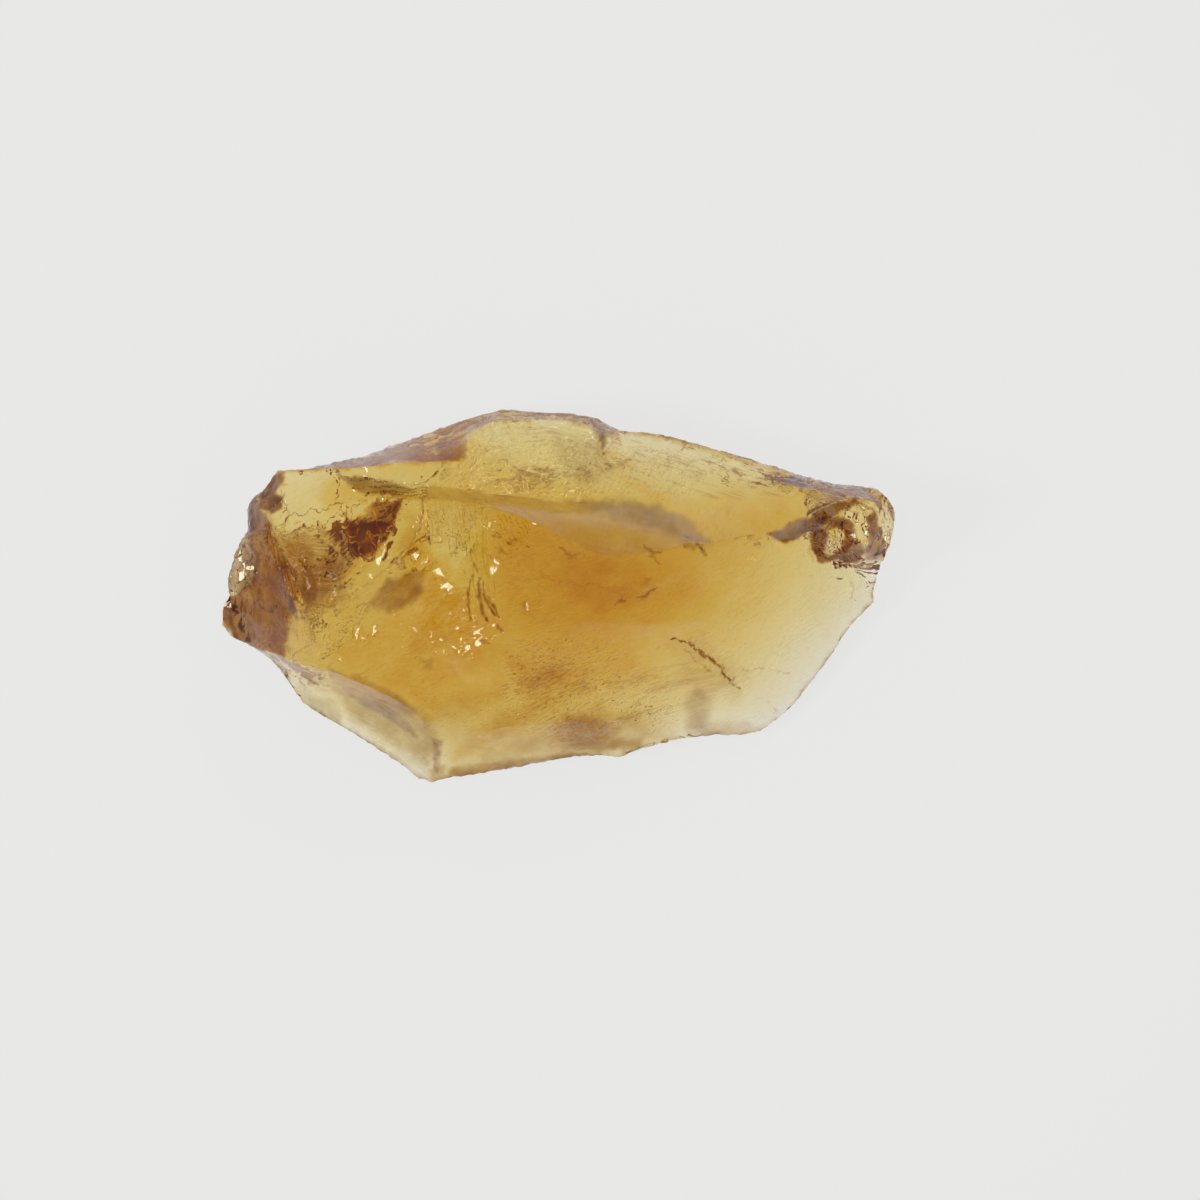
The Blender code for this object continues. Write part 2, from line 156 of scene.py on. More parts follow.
# Stacks of small flat facets that all face one way: outline, lean from level and heading of the facets
# in degrees, height of a step, unevenness and share of the area that they cover.
TERRACES = rows(
    ("glossy fringe", "243,530 253,535 258,560 259,580 240,592 228,590 230,568 236,552", 25.6, 189, 0.22,
     0.8, 0.32),
    ("ring stroke one", "305,574 311,572 314,590 309,592", 25.6, 189, 0.6, 0.3, 1.0),
    ("ring stroke two", "315,571 320,569 323,588 317,590", 25.6, 189, 0.6, 0.3, 1.0),
    ("ring top", "323,575 333,571 341,579 337,583 331,578 324,581", 25.6, 189, 0.6, 0.3, 1.0),
    ("ring foot", "336,584 342,585 339,596 330,601 329,596 334,592", 25.6, 189, 0.6, 0.3, 1.0),
    ("west dashes", "300,560 316,556 330,560 328,568 308,570", 25.6, 189, 0.25, 0.8, 0.6),
    ("west band", "264,520 272,527 286,552 298,577 306,604 298,606 286,584 276,560 266,538", 6, 95, 0.3,
     1.0, 1.0),
    ("triangle", "345,506 405,498 398,520 388,545 372,562 356,556 346,535", 6, 95, 0.2, 1.0, 1.0),
    ("crescent glints", "376,536 387,534 388,552 382,568 376,562", 25.6, 189, 0.35, 0.4, 0.9),
    ("bowl glint high", "411,556 420,551 432,553 430,560 436,567 428,571 418,565", 25.6, 189, 0.75, 0.3,
     1.0),
    ("bowl glint middle", "426,567 437,563 447,573 444,581 434,579", 25.6, 189, 0.75, 0.3, 1.0),
    ("bowl glint low", "437,579 446,577 453,587 449,594 440,590", 25.6, 189, 0.75, 0.3, 1.0),
    ("bowl glint far", "420,534 442,534 444,543 422,544", 25.6, 189, 0.4, 0.5, 0.6),
    ("curtain foot glints", "454,652 464,634 482,624 498,622 502,634 486,642 470,660", 25.6, 189, 0.24,
     0.8, 0.55),
    ("small glints", "352,628 380,624 384,640 356,642", 25.6, 189, 0.25, 0.8, 0.5),
    ("scarp west", "350,479 400,482 428,486 428,497 395,496 356,490", 32, 270, 0.5, 0.6, 1.0),
    ("pale foot", "286,507 348,503 346,524 318,532 292,536 280,524", 6, 95, 0.22, 1.0, 0.95),
    ("north rim", "440,425 480,410 535,407 598,413 612,424 590,422 540,419 490,421", 58, 92, 0.2, 1.0,
     1.0),
    ("beside the curtain", "494,514 530,519 534,560 508,578 496,556", 10, 20, 0.14, 1.0, 1.0),
)

# Undercuts of the lower side that rise in flat steps: outline, height of a step.
UNDERCUTS = rows(
    ("west", "210,505 262,500 330,540 350,600 345,668 260,668 246,636 240,600 210,592", 0.32),
    ("north-west", "285,475 340,455 440,430 500,412 620,412 622,488 560,500 480,508 430,516 400,524 "
     "350,528 330,515", 0.4),
    ("north-east", "626,415 700,438 786,468 786,512 740,508 626,490", 0.22),
    ("east", "792,478 840,470 905,480 905,543 838,550 820,558 796,540", 0.26),
    ("tip lip", "840,556 905,549 900,600 838,606", 0.62),
)

# Single cracks, nicks and ridges: path, half width, depth (below 0 for a ridge), wander, teeth, brown.
CRACKS = rows(
    ("672,640 686,641 700,652 712,660 721,668 728,679 741,690", 0.13, 0.14, 0.1, 1.0, 1.1),
    ("684,648 697,661 712,671", 0.06, 0.05, 0.08, 0.5, 0.35),
    ("738,668 752,671 765,667 778,672 792,674", 0.06, 0.04, 0.1, 0.3, 0.22),
    ("614,606 620,601 626,600", 0.08, 0.07, 0.06, 0.0, 0.5),
    ("637,598 645,596 650,590 657,588", 0.08, 0.07, 0.06, 0.0, 0.5),
    ("640,586 652,578", 0.1, 0.03, 0.06, 0.0, 0.2),
    ("474,574 468,590 469,606 472,619", 0.07, 0.1, 0.04, 0.0, 0.75),
    ("480,578 479,596 483,608 488,620", 0.1, 0.12, 0.04, 0.0, 0.9),
    ("484,580 484,596 490,606 496,616", 0.07, 0.1, 0.04, 0.0, 0.8),
    ("488,596 494,606 500,618", 0.07, 0.1, 0.04, 0.0, 0.7),
    ("475,562 478,574", 0.08, 0.08, 0.05, 0.0, 0.5),
    ("498,624 502,632", 0.1, 0.08, 0.05, 0.0, 0.5),
    ("482,641 489,643", 0.08, 0.06, 0.05, 0.0, 0.5),
    ("493,536 500,537", 0.08, 0.06, 0.08, 0.0, 0.5),
    ("508,545 518,538", 0.08, 0.07, 0.1, 0.0, 0.45),
    ("500,549 504,553", 0.12, 0.07, 0.08, 0.0, 0.45),
    ("490,555 494,561", 0.08, 0.05, 0.08, 0.0, 0.4),
    ("643,545 652,552 661,553", 0.12, 0.08, 0.1, 0.0, 0.5),
    ("648,557 660,562", 0.1, 0.06, 0.1, 0.0, 0.4),
    ("682,545 690,548 698,546 706,555", 0.14, 0.1, 0.12, 0.0, 0.6),
    ("684,537 696,542 702,550", 0.07, 0.06, 0.06, 0.0, 0.5),
    ("433,740 437,752 433,762 435,772", 0.14, 0.1, 0.1, 0.0, 0.35),
    ("262,503 271,527 284,552 297,577 304,597 309,618 316,643", 0.1, -0.05, 0.16, 0.0, 0.18),
    ("424,499 424,512 421,528 412,545 398,560 378,577 352,594", 0.05, 0.05, 0.05, 0.0, 0.3),
    ("403,499 397,516 389,530 381,545 370,562", 0.06, 0.05, 0.1, 0.8, 0.5),
    ("262,500 270,492 280,476", 0.1, 0.08, 0.08, 0.4, 0.6),
    ("266,512 276,505 284,498", 0.08, 0.06, 0.08, 0.4, 0.5),
    ("283,500 290,512 286,524 279,530", 0.07, 0.05, 0.06, 0.3, 0.4),
    ("280,560 297,576 302,592", 0.05, -0.06, 0.05, 0.0, 0.0),
    ("344,545 352,548 349,556", 0.06, 0.05, 0.05, 0.0, 0.3),
    ("590,420 600,430 603,442 604,452", 0.16, 0.14, 0.1, 0.0, 0.45),
    ("585,440 598,452 606,462", 0.08, 0.06, 0.12, 0.3, 0.2),
    ("776,478 796,477 813,476", 0.1, 0.1, 0.06, 0.4, 0.8),
    ("796,483 815,487 835,493", 0.07, 0.06, 0.05, 0.4, 0.5),
    ("838,494 858,503 880,512", 0.07, 0.06, 0.06, 0.4, 0.6),
    ("852,498 862,508 870,520", 0.06, 0.06, 0.06, 0.0, 0.5),
    ("720,464 728,469", 0.06, 0.05, 0.05, 0.0, 0.5),
    ("733,468 742,475", 0.08, 0.06, 0.05, 0.0, 0.5),
    ("700,459 716,463", 0.05, 0.04, 0.05, 0.0, 0.4),
    ("757,482 763,483", 0.07, 0.05, 0.05, 0.0, 0.5),
    ("745,541 760,537 774,535", 0.06, 0.03, 0.08, 0.8, 0.25),
    ("640,432 665,435 682,441 700,444", 0.08, 0.05, 0.06, 0.3, 0.45),
    ("851,578 853,588 855,600", 0.12, 0.05, 0.14, 0.9, 0.3),
    ("770,704 778,712 776,722", 0.1, 0.04, 0.1, 0.3, 0.15),
    ("524,601 526,614", 0.06, 0.04, 0.06, 0.0, 0.3),
    ("530,610 560,606 590,596", 0.16, -0.05, 0.12, 0.0, 0.0),
    ("500,640 540,632 555,626", 0.2, -0.05, 0.16, 0.0, 0.0),
    ("655,650 662,646", 0.06, 0.03, 0.05, 0.0, 0.2),
    ("560,548 572,556 584,554", 0.1, 0.05, 0.1, 0.0, 0.3),
)

# Areas with flake scars, fine pits and grain: outline, the amount of each.
PITTED = rows(
    ("bowl", "310,600 400,545 455,560 500,615 470,660 430,690 400,700 330,670 318,640", 0.8, 0.5, 0.3),
    ("west shoulder", "275,525 345,523 400,500 385,560 350,600 312,612 298,577", 0.9, 0.3, 0.1),
    ("knob", "806,515 880,500 892,530 876,570 820,575 806,548", 0.9, 0.3, 0.1),
    ("west end", "246,510 262,505 284,552 300,590 312,643 250,646 222,625 229,578", 0.12, 0.0, 0.05),
    ("fringe", "243,530 254,536 259,580 240,596 226,596 229,578", 1.0, 0.4, 0.0),
    ("north", "470,430 560,440 620,440 700,480 690,500 540,500 440,482 460,450", 0.1, 0.5, 0.8),
    ("frosted", "556,440 606,438 612,478 585,484 560,466", 0.2, 0.9, 1.0),
    ("south grain", "520,640 600,640 670,685 680,725 560,742 500,715 500,670", 0.1, 1.1, 1.8),
    ("south-west grain", "300,655 360,650 430,690 520,700 500,750 430,760 400,700", 0.25, 0.3, 0.5),
    ("core", "500,520 640,560 700,570 690,640 560,660 490,640", 0.12, 0.12, 0.15),
    ("east", "700,520 800,500 860,580 820,640 740,700 680,700 690,600", 0.05, 0.12, 0.2),
)

# Films and clouds of colour under the surface: outline, softness of its edge, gold, brown, frost-and-shade.
# Many are painted shade, darkening where steep faces turn the light back inside the stone, some with a
# greyish painted sheen; others deepen or thin the stone's gold.
SHADES = rows(
    ("bowl", "405,520 420,545 455,560 470,600 505,630 480,670 440,690 400,700 350,680 330,650 380,622 "
     "405,580", 0.7, 0.45, 0.0, 0.0),
    # Painted shade: the west face and its foot are darkened brown where steep faces turn the light back
    # inside; the fringe gets a painted grey veil.
    ("west face", "258,503 271,527 284,552 297,577 300,592 296,610 288,632 284,656 262,652 240,642 "
     "228,620 232,596 252,582 255,558 250,535 246,512", 0.12, 1.05, 0.5, 0.0),
    ("west foot", "228,600 252,584 284,556 297,577 300,592 296,610 288,632 284,656 262,652 240,642 "
     "228,620", 0.6, 0.2, 0.22, 0.0),
    ("fringe", "241,529 254,535 258,560 259,578 240,592 228,592 228,576 235,556", 0.12, 0.1, 0.3, 0.7),
    ("crescent", "404,500 424,500 420,530 405,555 385,575 350,600 335,610 338,596 370,570 388,545 "
     "396,520", 0.2, -0.35, 0.0, 0.0),
    ("crescent shade", "412,512 424,520 420,545 404,556 398,550 408,532", 0.25, 0.3, 0.05, 0.05),
    ("bowl centre", "430,580 462,592 470,630 440,650 405,650 420,620", 0.6, 0.3, 0.06, 0.0),
    ("north thinning", "470,430 560,425 640,435 740,458 800,480 740,498 600,488 520,470", 0.8, -0.35, 0.0,
     0.0),
    ("west thinning", "284,475 330,476 336,515 300,530 280,520", 0.4, -0.15, 0.0, 0.0),
    ("curtain thinning", "425,505 485,508 488,580 462,600 430,560", 0.5, -0.4, 0.0, 0.0),
    ("inner south", "380,690 470,650 540,640 640,640 660,680 560,690 480,712 430,715", 0.8, 0.4, 0.0,
     0.0),
    ("core", "500,515 560,535 620,560 690,560 705,600 640,630 560,640 505,620", 1.0, 0.5, 0.02, 0.0),
    ("heart of the core", "560,565 600,558 640,565 638,600 600,610 560,600", 0.7, 0.45, 0.04, 0.0),
    # Painted shade and sheen: the greyish veil along the long scarp, a steep face that looks dark inside
    # and grey from its reflection.
    ("long scarp", "338,477 400,484 450,488 500,495 545,500 600,503 650,505 690,522 708,545 690,543 "
     "655,553 620,557 580,548 545,528 512,513 480,504 430,499 402,500", 0.1, 0.0, 0.0, 0.36),
    ("scarp west", "341,477 400,482 414,491 395,497 360,491", 0.14, 0.0, 0.22, 1.15),
    ("scarp east", "570,504 600,503 650,505 690,522 708,545 690,543 660,532 610,516", 0.4, 0.0, 0.08,
     0.9),
    ("north-west patch", "438,441 466,439 465,458 452,461 440,455", 0.12, 0.3, 0.35, 0.0),
    # Painted shade: the dark notches of the north-west end and the rim beside them.
    ("west notch", "259,500 263,486 275,474 286,471 283,484 276,492 283,498 284,508 272,512 262,508", 0.1,
     0.5, 0.7, 0.0),
    ("west notch edge", "248,500 262,492 262,510 258,530 246,530 245,510", 0.12, 0.0, 0.7, 0.0),
    ("west notch olive", "268,498 284,495 283,507 272,513", 0.12, 0.0, 0.4, 0.2),
    ("west upper rim", "262,506 270,512 276,530 268,545 258,530", 0.2, 0.0, 0.15, 0.1),
    # Painted shade: the dark triangle and its tip, where the light is turned back inside; the corner takes
    # part of that shade off again.
    ("dark triangle", "347,507 375,504 403,499 396,522 385,545 365,562 356,545 350,528", 0.08, 0.75, 0.42,
     0.0),
    ("triangle tip", "372,503 403,499 397,520 380,528", 0.08, 0.4, 0.26, 0.0),
    ("triangle corner", "346,506 372,503 364,514 352,520", 0.15, -0.6, -0.7, 0.0),
    ("shoulder west", "286,540 312,546 316,600 306,604 296,576", 0.15, 0.5, 0.25, 0.0),
    # Painted shade: the brownish colour of the steep north-west strip.
    ("north-west strip film", "300,470 340,459 400,441 450,423 478,411 488,421 459,438 462,459 440,462 "
     "400,463 340,470", 0.15, 1.15, 0.02, 0.16),
    ("shoulder", "275,534 350,528 362,560 345,578 350,600 312,612 297,577", 0.25, 0.2, 0.16, 0.1),
    ("shoulder hollow", "305,562 345,558 340,578 318,600 308,612 302,585", 0.25, 0.0, 0.3, 0.0),
    # Painted shade: the dark olive lens on the bowl's west wall.
    ("olive lens", "368,602 378,588 396,577 414,571 424,574 422,590 410,604 392,612 376,610", 0.2, 0.1,
     0.34, 0.25),
    # Painted shade: the brown of the west corner.
    ("west corner", "222,604 230,598 232,622 240,642 234,640 222,626", 0.12, 0.5, 0.8, 0.0),
    # Painted shade: the darker, browner bands of the steep north and north-east rims.
    ("north rim", "420,432 478,409 535,406 598,412 615,425 590,420 540,417 490,420 450,432", 0.15, 0.9,
     0.06, 0.36),
    ("north rim east", "572,407 600,411 618,427 600,426 572,422", 0.2, 0.2, 0.12, 0.4),
    ("north-east rim", "620,428 662,432 740,452 808,474 856,483 880,488 878,492 840,490 780,473 700,450",
     0.3, 0.6, 0.02, 0.16),
    ("north-east tip film", "770,470 808,474 856,483 880,488 890,500 850,500 800,492", 0.4, 0.9, 0.0,
     0.0),
    ("frosted", "556,440 606,438 612,478 585,484 560,466", 0.5, 0.0, 0.0, 0.45),
    ("groove", "590,418 606,418 612,432 604,446 594,436", 0.2, 0.0, 0.2, 0.5),
    # Painted shade: the dark brown ring and arrow of the east knob, where the light is turned back inside.
    ("tip arrow", "770,536 790,524 806,518 820,508 835,502 860,497 850,506 835,513 814,530 800,538 "
     "783,542", 0.1, 0.2, 0.9, 0.3),
    ("tip ring upper", "812,530 820,518 838,514 850,520 858,536 846,534 836,526 824,530 816,536", 0.1,
     0.3, 0.8, 0.0),
    ("tip ring left", "812,528 826,530 825,552 836,560 822,562 814,548", 0.1, 0.3, 0.8, 0.0),
    ("tip ring foot", "828,557 842,548 844,530 856,534 864,548 860,560 844,562", 0.1, 0.5, 1.0, 0.0),
    ("tip right", "867,524 874,511 880,522 884,536 889,545 882,552 874,560 866,560 862,552 868,545", 0.1,
     0.4, 0.8, 0.0),
    ("tip foot", "852,560 878,556 877,562 858,565", 0.15, 0.0, 0.3, 0.2),
    ("tip edge", "889,500 896,512 894,520 889,512", 0.1, 0.0, 0.6, 0.1),
    ("south shade", "420,725 470,706 520,706 560,716 520,740 460,752", 0.7, 0.2, 0.0, 0.2),
    ("south cloud", "540,738 565,716 600,708 640,718 670,738 620,746 590,744", 0.8, 0.6, 0.0, 0.42),
    ("crack cloud", "670,640 700,635 750,680 735,700 690,690", 0.7, 0.1, 0.06, 0.1),
    ("east rim cloud", "690,728 745,722 765,730 745,738 712,737", 0.3, 0.1, 0.06, 0.2),
    ("south-east cloud", "688,700 700,688 712,700 705,735 688,735", 0.4, 0.0, 0.16, 0.35),
    ("south smudge", "420,660 434,658 434,668 424,670", 0.2, 0.0, 0.12, 0.3),
    # Painted shade along the south rim, where the edge looks darker.
    ("south rim film", "450,772 500,764 560,754 600,758 575,765 550,768 500,778 450,786", 0.2, 0.9, 0.14,
     0.75),
    # Painted shade and sheen: the greyish veil on the south-west scarp.
    ("south-west film", "335,690 400,698 428,722 438,745 424,768 400,752 350,718", 0.4, 0.25, 0.02, 0.72),
    ("south-west strip", "330,668 372,682 404,700 420,716 404,716 372,700 330,684", 0.12, 0.1, 0.14,
     0.25),
    ("south-west strip two", "344,690 380,704 408,722 416,738 396,726 360,706", 0.1, 0.0, 0.14, 0.35),
    ("south-west pale", "296,690 330,702 340,730 305,708", 0.3, 0.1, 0.0, 0.45),
    ("south golden band", "436,770 462,744 500,716 545,694 560,700 520,724 486,748 455,770", 0.45, 0.5,
     0.0, 0.12),
    # Painted shade: the olive shade at the foot of the south rim.
    ("south olive foot", "450,772 485,754 520,742 560,736 600,742 640,742 600,754 540,756 480,772", 0.35,
     0.4, 0.05, 0.32),
    ("south middle shade", "420,700 470,690 500,690 470,712 430,724", 0.6, 0.4, 0.0, 0.12),
    ("south cloud heart", "555,728 575,716 600,715 618,730 600,742 575,742", 0.4, 0.5, 0.06, 0.4),
    ("grain patch", "515,668 560,660 590,672 592,694 560,706 524,690", 0.6, 0.3, 0.13, 0.14),
    ("south corner", "427,772 442,768 450,780 432,790", 0.2, 0.3, 0.05, 0.5),
    ("south rim shade", "560,738 600,736 642,740 640,750 600,752 562,752", 0.3, 0.3, 0.04, 0.4),
    ("south fill", "470,748 500,736 540,728 560,736 520,748 480,758", 0.5, 0.25, 0.0, 0.15),
    ("south heart", "566,718 590,716 606,728 590,738 568,736", 0.3, 0.3, 0.02, 0.2),
    ("north-east pale band", "606,428 640,436 700,450 742,470 736,480 690,466 640,452 606,440", 0.25,
     -0.4, 0.0, 0.0),
    ("north-east gold band", "596,444 620,452 672,492 660,500 620,480 598,462", 0.3, 0.4, 0.0, 0.0),
    ("north-east second band", "616,463 640,468 682,490 674,497 630,482", 0.2, -0.3, 0.0, 0.08),
    ("north-east gold field", "716,478 790,486 800,512 760,532 716,512", 0.5, 0.25, 0.0, 0.0),
    ("shoulder gold", "326,480 350,482 402,496 372,502 346,507 330,514 318,500", 0.25, 0.45, 0.0, 0.0),
    ("south crack film", "430,738 440,742 438,770 431,770", 0.1, 0.0, 0.15, 0.35),
)

# Smooth areas of the upper side, which keep a coarse mesh.
PLAIN = rows(
    ("505,525 560,545 640,570 720,556 800,548 856,600 800,690 740,645 660,635 560,636 510,618",),
    ("290,480 350,484 344,500 292,504",),
)

# The rim seen from above.
RIM = placed(
    "278,471 265,488 251,499 246,510 248,530 241,541 233,558 228,578 229,595 222,611 222,625 232,637 "
    "250,646 266,656 284,678 299,702 322,718 350,733 372,747 400,765 416,779 429,783 450,779 500,771 "
    "550,762 575,757 600,756 620,758 650,747 680,740 712,735 745,736 762,732 782,717 798,702 815,680 "
    "832,658 848,633 862,616 876,602 876,588 879,573 883,558 891,544 894,528 895,512 889,499 876,488 "
    "856,485 835,483 808,476 780,467 740,455 700,444 662,434 640,431 620,430 609,425 598,417 570,412 "
    "535,411 503,408 478,414 450,424 400,442 365,455 340,461 308,469 278,471"
)


def polygon_mask(points, outline, feather):
    """1 inside the outline, fading to 0 across feather on either side of it."""
    poly = np.array(outline, float)
    x, y = points[:, 0], points[:, 1]
    nearest = np.full(len(points), np.inf)
    crossings = np.zeros(len(points), int)
    for a, b in zip(poly, np.roll(poly, -1, axis=0)):
        along = b - a
        t = np.clip(((x - a[0]) * along[0] + (y - a[1]) * along[1]) / (along @ along), 0, 1)
        nearest = np.minimum(nearest, np.hypot(x - a[0] - t * along[0], y - a[1] - t * along[1]))
        if a[1] != b[1]:
            spans = (a[1] > y) != (b[1] > y)
            crossings += spans & (x < a[0] + (y - a[1]) * along[0] / along[1])
    signed = np.where(crossings % 2 == 1, nearest, -nearest)
    share = np.clip(0.5 + signed / (2 * feather), 0, 1)
    return share * share * (3 - 2 * share)


def beside_path(points, path, endless):
    """Each point's distance from the path, positive on its left, and how far along the path it lies."""
    x, y = points[:, 0], points[:, 1]
    nearest = np.full(len(points), np.inf)
    side = np.zeros(len(points))
    run = np.zeros(len(points))
    start = 0.0
    last = len(path) - 2
    for index, (a, b) in enumerate(zip(path, path[1:])):
        step = (b[0] - a[0], b[1] - a[1])
        length = math.hypot(*step)
        share = ((x - a[0]) * step[0] + (y - a[1]) * step[1]) / length**2
        low = -np.inf if endless and index == 0 else 0.0
        high = np.inf if endless and index == last else 1.0
        share = np.clip(share, low, high)
        dx, dy = x - a[0] - share * step[0], y - a[1] - share * step[1]
        gap = np.hypot(dx, dy)
        closer = gap < nearest
        nearest = np.where(closer, gap, nearest)
        side = np.where(closer, np.sign(step[0] * dy - step[1] * dx), side)
        run = np.where(closer, start + share * length, run)
        start += length
    return nearest * side, run


def lattice(x, y, seed):
    """Smooth random values from -1 to 1 that change over a distance of 1."""
    table = np.random.default_rng(seed).uniform(-1.0, 1.0, (97, 89))
    left, low = np.floor(x).astype(int), np.floor(y).astype(int)
    u, v = x - left, y - low
    u, v = u * u * (3 - 2 * u), v * v * (3 - 2 * v)
    row, column = left % 97, low % 89
    near = table[row, column] * (1 - u) + table[(row + 1) % 97, column] * u
    far = table[row, (column + 1) % 89] * (1 - u) + table[(row + 1) % 97, (column + 1) % 89] * u
    return near * (1 - v) + far * v


def cloud(points, size, seed, layers=3):
    """Random values, about -1 to 1, with finer ones laid over the broad ones."""
    total = np.zeros(len(points))
    for layer in range(layers):
        finer = 2.0**layer / size
        x, y = points[:, 0] * finer + 7.7 * layer, points[:, 1] * finer
        total += 0.55**layer * lattice(x, y, seed + layer)
    return total / 1.2


def wandered(points, reach, size, seed):
    """The points, each moved a little, so that outlines drawn through them come out ragged."""
    moved = points[:, :2].copy()
    moved[:, 0] += reach * cloud(points, size, seed)
    moved[:, 1] += reach * cloud(points, size, seed + 50)
    return moved


def uneven_steps(heights, step, phase):
    """The heights of flat treads, about a step apart but never evenly."""
    ladder = np.linspace(-1.0, 13.0, 2801)
    count = ladder / step
    count += 0.30 * np.sin(1.3 * count + phase) + 0.10 * np.sin(3.7 * count + 2.0 * phase)
    return np.interp(np.round(np.interp(heights, ladder, count)), count, ladder)


def operator(operation, swapped=False):
    """A method that joins two values with a maths node."""

    def apply(self, other):
        values = (other, self) if swapped else (self, other)
        return self.graph.math(operation, *values)

    return apply


class Wire:
    """A node's output, for writing the nodes' maths as expressions."""

    def __init__(self, graph, socket):
        self.graph = graph
        self.socket = socket

    __add__ = __radd__ = operator("ADD")
    __mul__ = __rmul__ = operator("MULTIPLY")
    __sub__ = operator("SUBTRACT")
    __rsub__ = operator("SUBTRACT", swapped=True)
    __truediv__ = operator("DIVIDE")
    __rtruediv__ = operator("DIVIDE", swapped=True)
    __pow__ = operator("POWER")


class Graph:
    """A node tree that is being built, for a material or for geometry."""

    def __init__(self, tree):
        self.tree = tree

    def node(self, kind, settings=None, values=None):
        """A node of that type, with its settings made before its sockets get their values or links."""
        made = self.tree.nodes.new(kind)
        for name, value in (settings or {}).items():
            if name == "stops":
                self.set_stops(made.color_ramp, value)
            else:
                setattr(made, name, value)
        for name, value in (values or {}).items():
            if isinstance(value, Wire):
                self.tree.links.new(value.socket, made.inputs[name])
            else:
                made.inputs[name].default_value = value
        return made

    @staticmethod
    def set_stops(ramp, stops):
        while len(ramp.elements) < len(stops):
            ramp.elements.new(0.5)
        for element, (position, colour) in zip(ramp.elements, stops):
            element.position = position
            element.color = (*colour, 1.0)

    def wire(self, made, output=0):
        return Wire(self, made.outputs[output])

    def math(self, operation, *values):
        return self.wire(self.node("ShaderNodeMath", {"operation": operation}, dict(enumerate(values))))

    def clamp(self, value):
        made = self.node("ShaderNodeMath", {"operation": "ADD", "use_clamp": True}, {0: value, 1: 0.0})
        return self.wire(made)

    def vector(self, x, y, z):
        return self.wire(self.node("ShaderNodeCombineXYZ", None, {0: x, 1: y, 2: z}))

    def dot(self, vector, direction):
        made = self.node("ShaderNodeVectorMath", {"operation": "DOT_PRODUCT"}, {0: vector, 1: direction})
        return Wire(self, made.outputs["Value"])

    def together(self, one, other):
        """The sum of two vectors."""
        return self.wire(self.node("ShaderNodeVectorMath", {"operation": "ADD"}, {0: one, 1: other}))

    def scaled(self, vector, factor):
        made = self.node("ShaderNodeVectorMath", {"operation": "SCALE"}, {0: vector})
        if isinstance(factor, Wire):
            self.tree.links.new(factor.socket, made.inputs["Scale"])
        else:
            made.inputs["Scale"].default_value = factor
        return self.wire(made)

    def noise(self, vector, scale, detail=2.0, roughness=0.5, distortion=0.0):
        """Noise about 0, from about -1 to 1."""
        values = {"Vector": vector, "Scale": scale, "Detail": detail}
        values.update({"Roughness": roughness, "Distortion": distortion})
        return (self.wire(self.node("ShaderNodeTexNoise", None, values)) - 0.5) * 2.0


def rounded_copy(node, level):
    """The CAD node with its doubles merged, soft bends rounded and sharp edges kept, in triangles."""
    bm = bmesh.new()
    bm.from_mesh(node.data)
    bmesh.ops.remove_doubles(bm, verts=bm.verts, dist=1e-6)
    crease = bm.edges.layers.float.new("crease_edge")
    for edge in bm.edges:
        if len(edge.link_faces) == 2 and edge.calc_face_angle(0.0) > SHARP:
            edge[crease] = 1.0
    mesh = bpy.data.meshes.new("draft")
    bm.to_mesh(mesh)
    bm.free()
    obj = bpy.data.objects.new("draft", mesh)
    bpy.context.collection.objects.link(obj)
    smooth = obj.modifiers.new("Rounding", "SUBSURF")
    smooth.levels = level
    smooth.render_levels = level
    done = evaluated_mesh(obj)
    bpy.data.objects.remove(obj)
    bpy.data.meshes.remove(mesh)
    bm = bmesh.new()
    bm.from_mesh(done)
    bmesh.ops.triangulate(bm, faces=bm.faces)
    bm.to_mesh(done)
    bm.free()
    return done


def evaluated_mesh(obj):
    graph = bpy.context.evaluated_depsgraph_get()
    return bpy.data.meshes.new_from_object(obj.evaluated_get(graph), depsgraph=graph)


def coordinates(mesh):
    flat = np.empty(len(mesh.vertices) * 3)
    mesh.vertices.foreach_get("co", flat)
    return flat.reshape(-1, 3)


def normals(mesh):
    flat = np.empty(len(mesh.vertices) * 3, np.float32)
    mesh.vertex_normals.foreach_get("vector", flat)
    return flat.reshape(-1, 3).astype(float)


def triangles(mesh):
    flat = np.empty(len(mesh.loops), np.int32)
    mesh.loops.foreach_get("vertex_index", flat)
    return flat.reshape(-1, 3).astype(int)


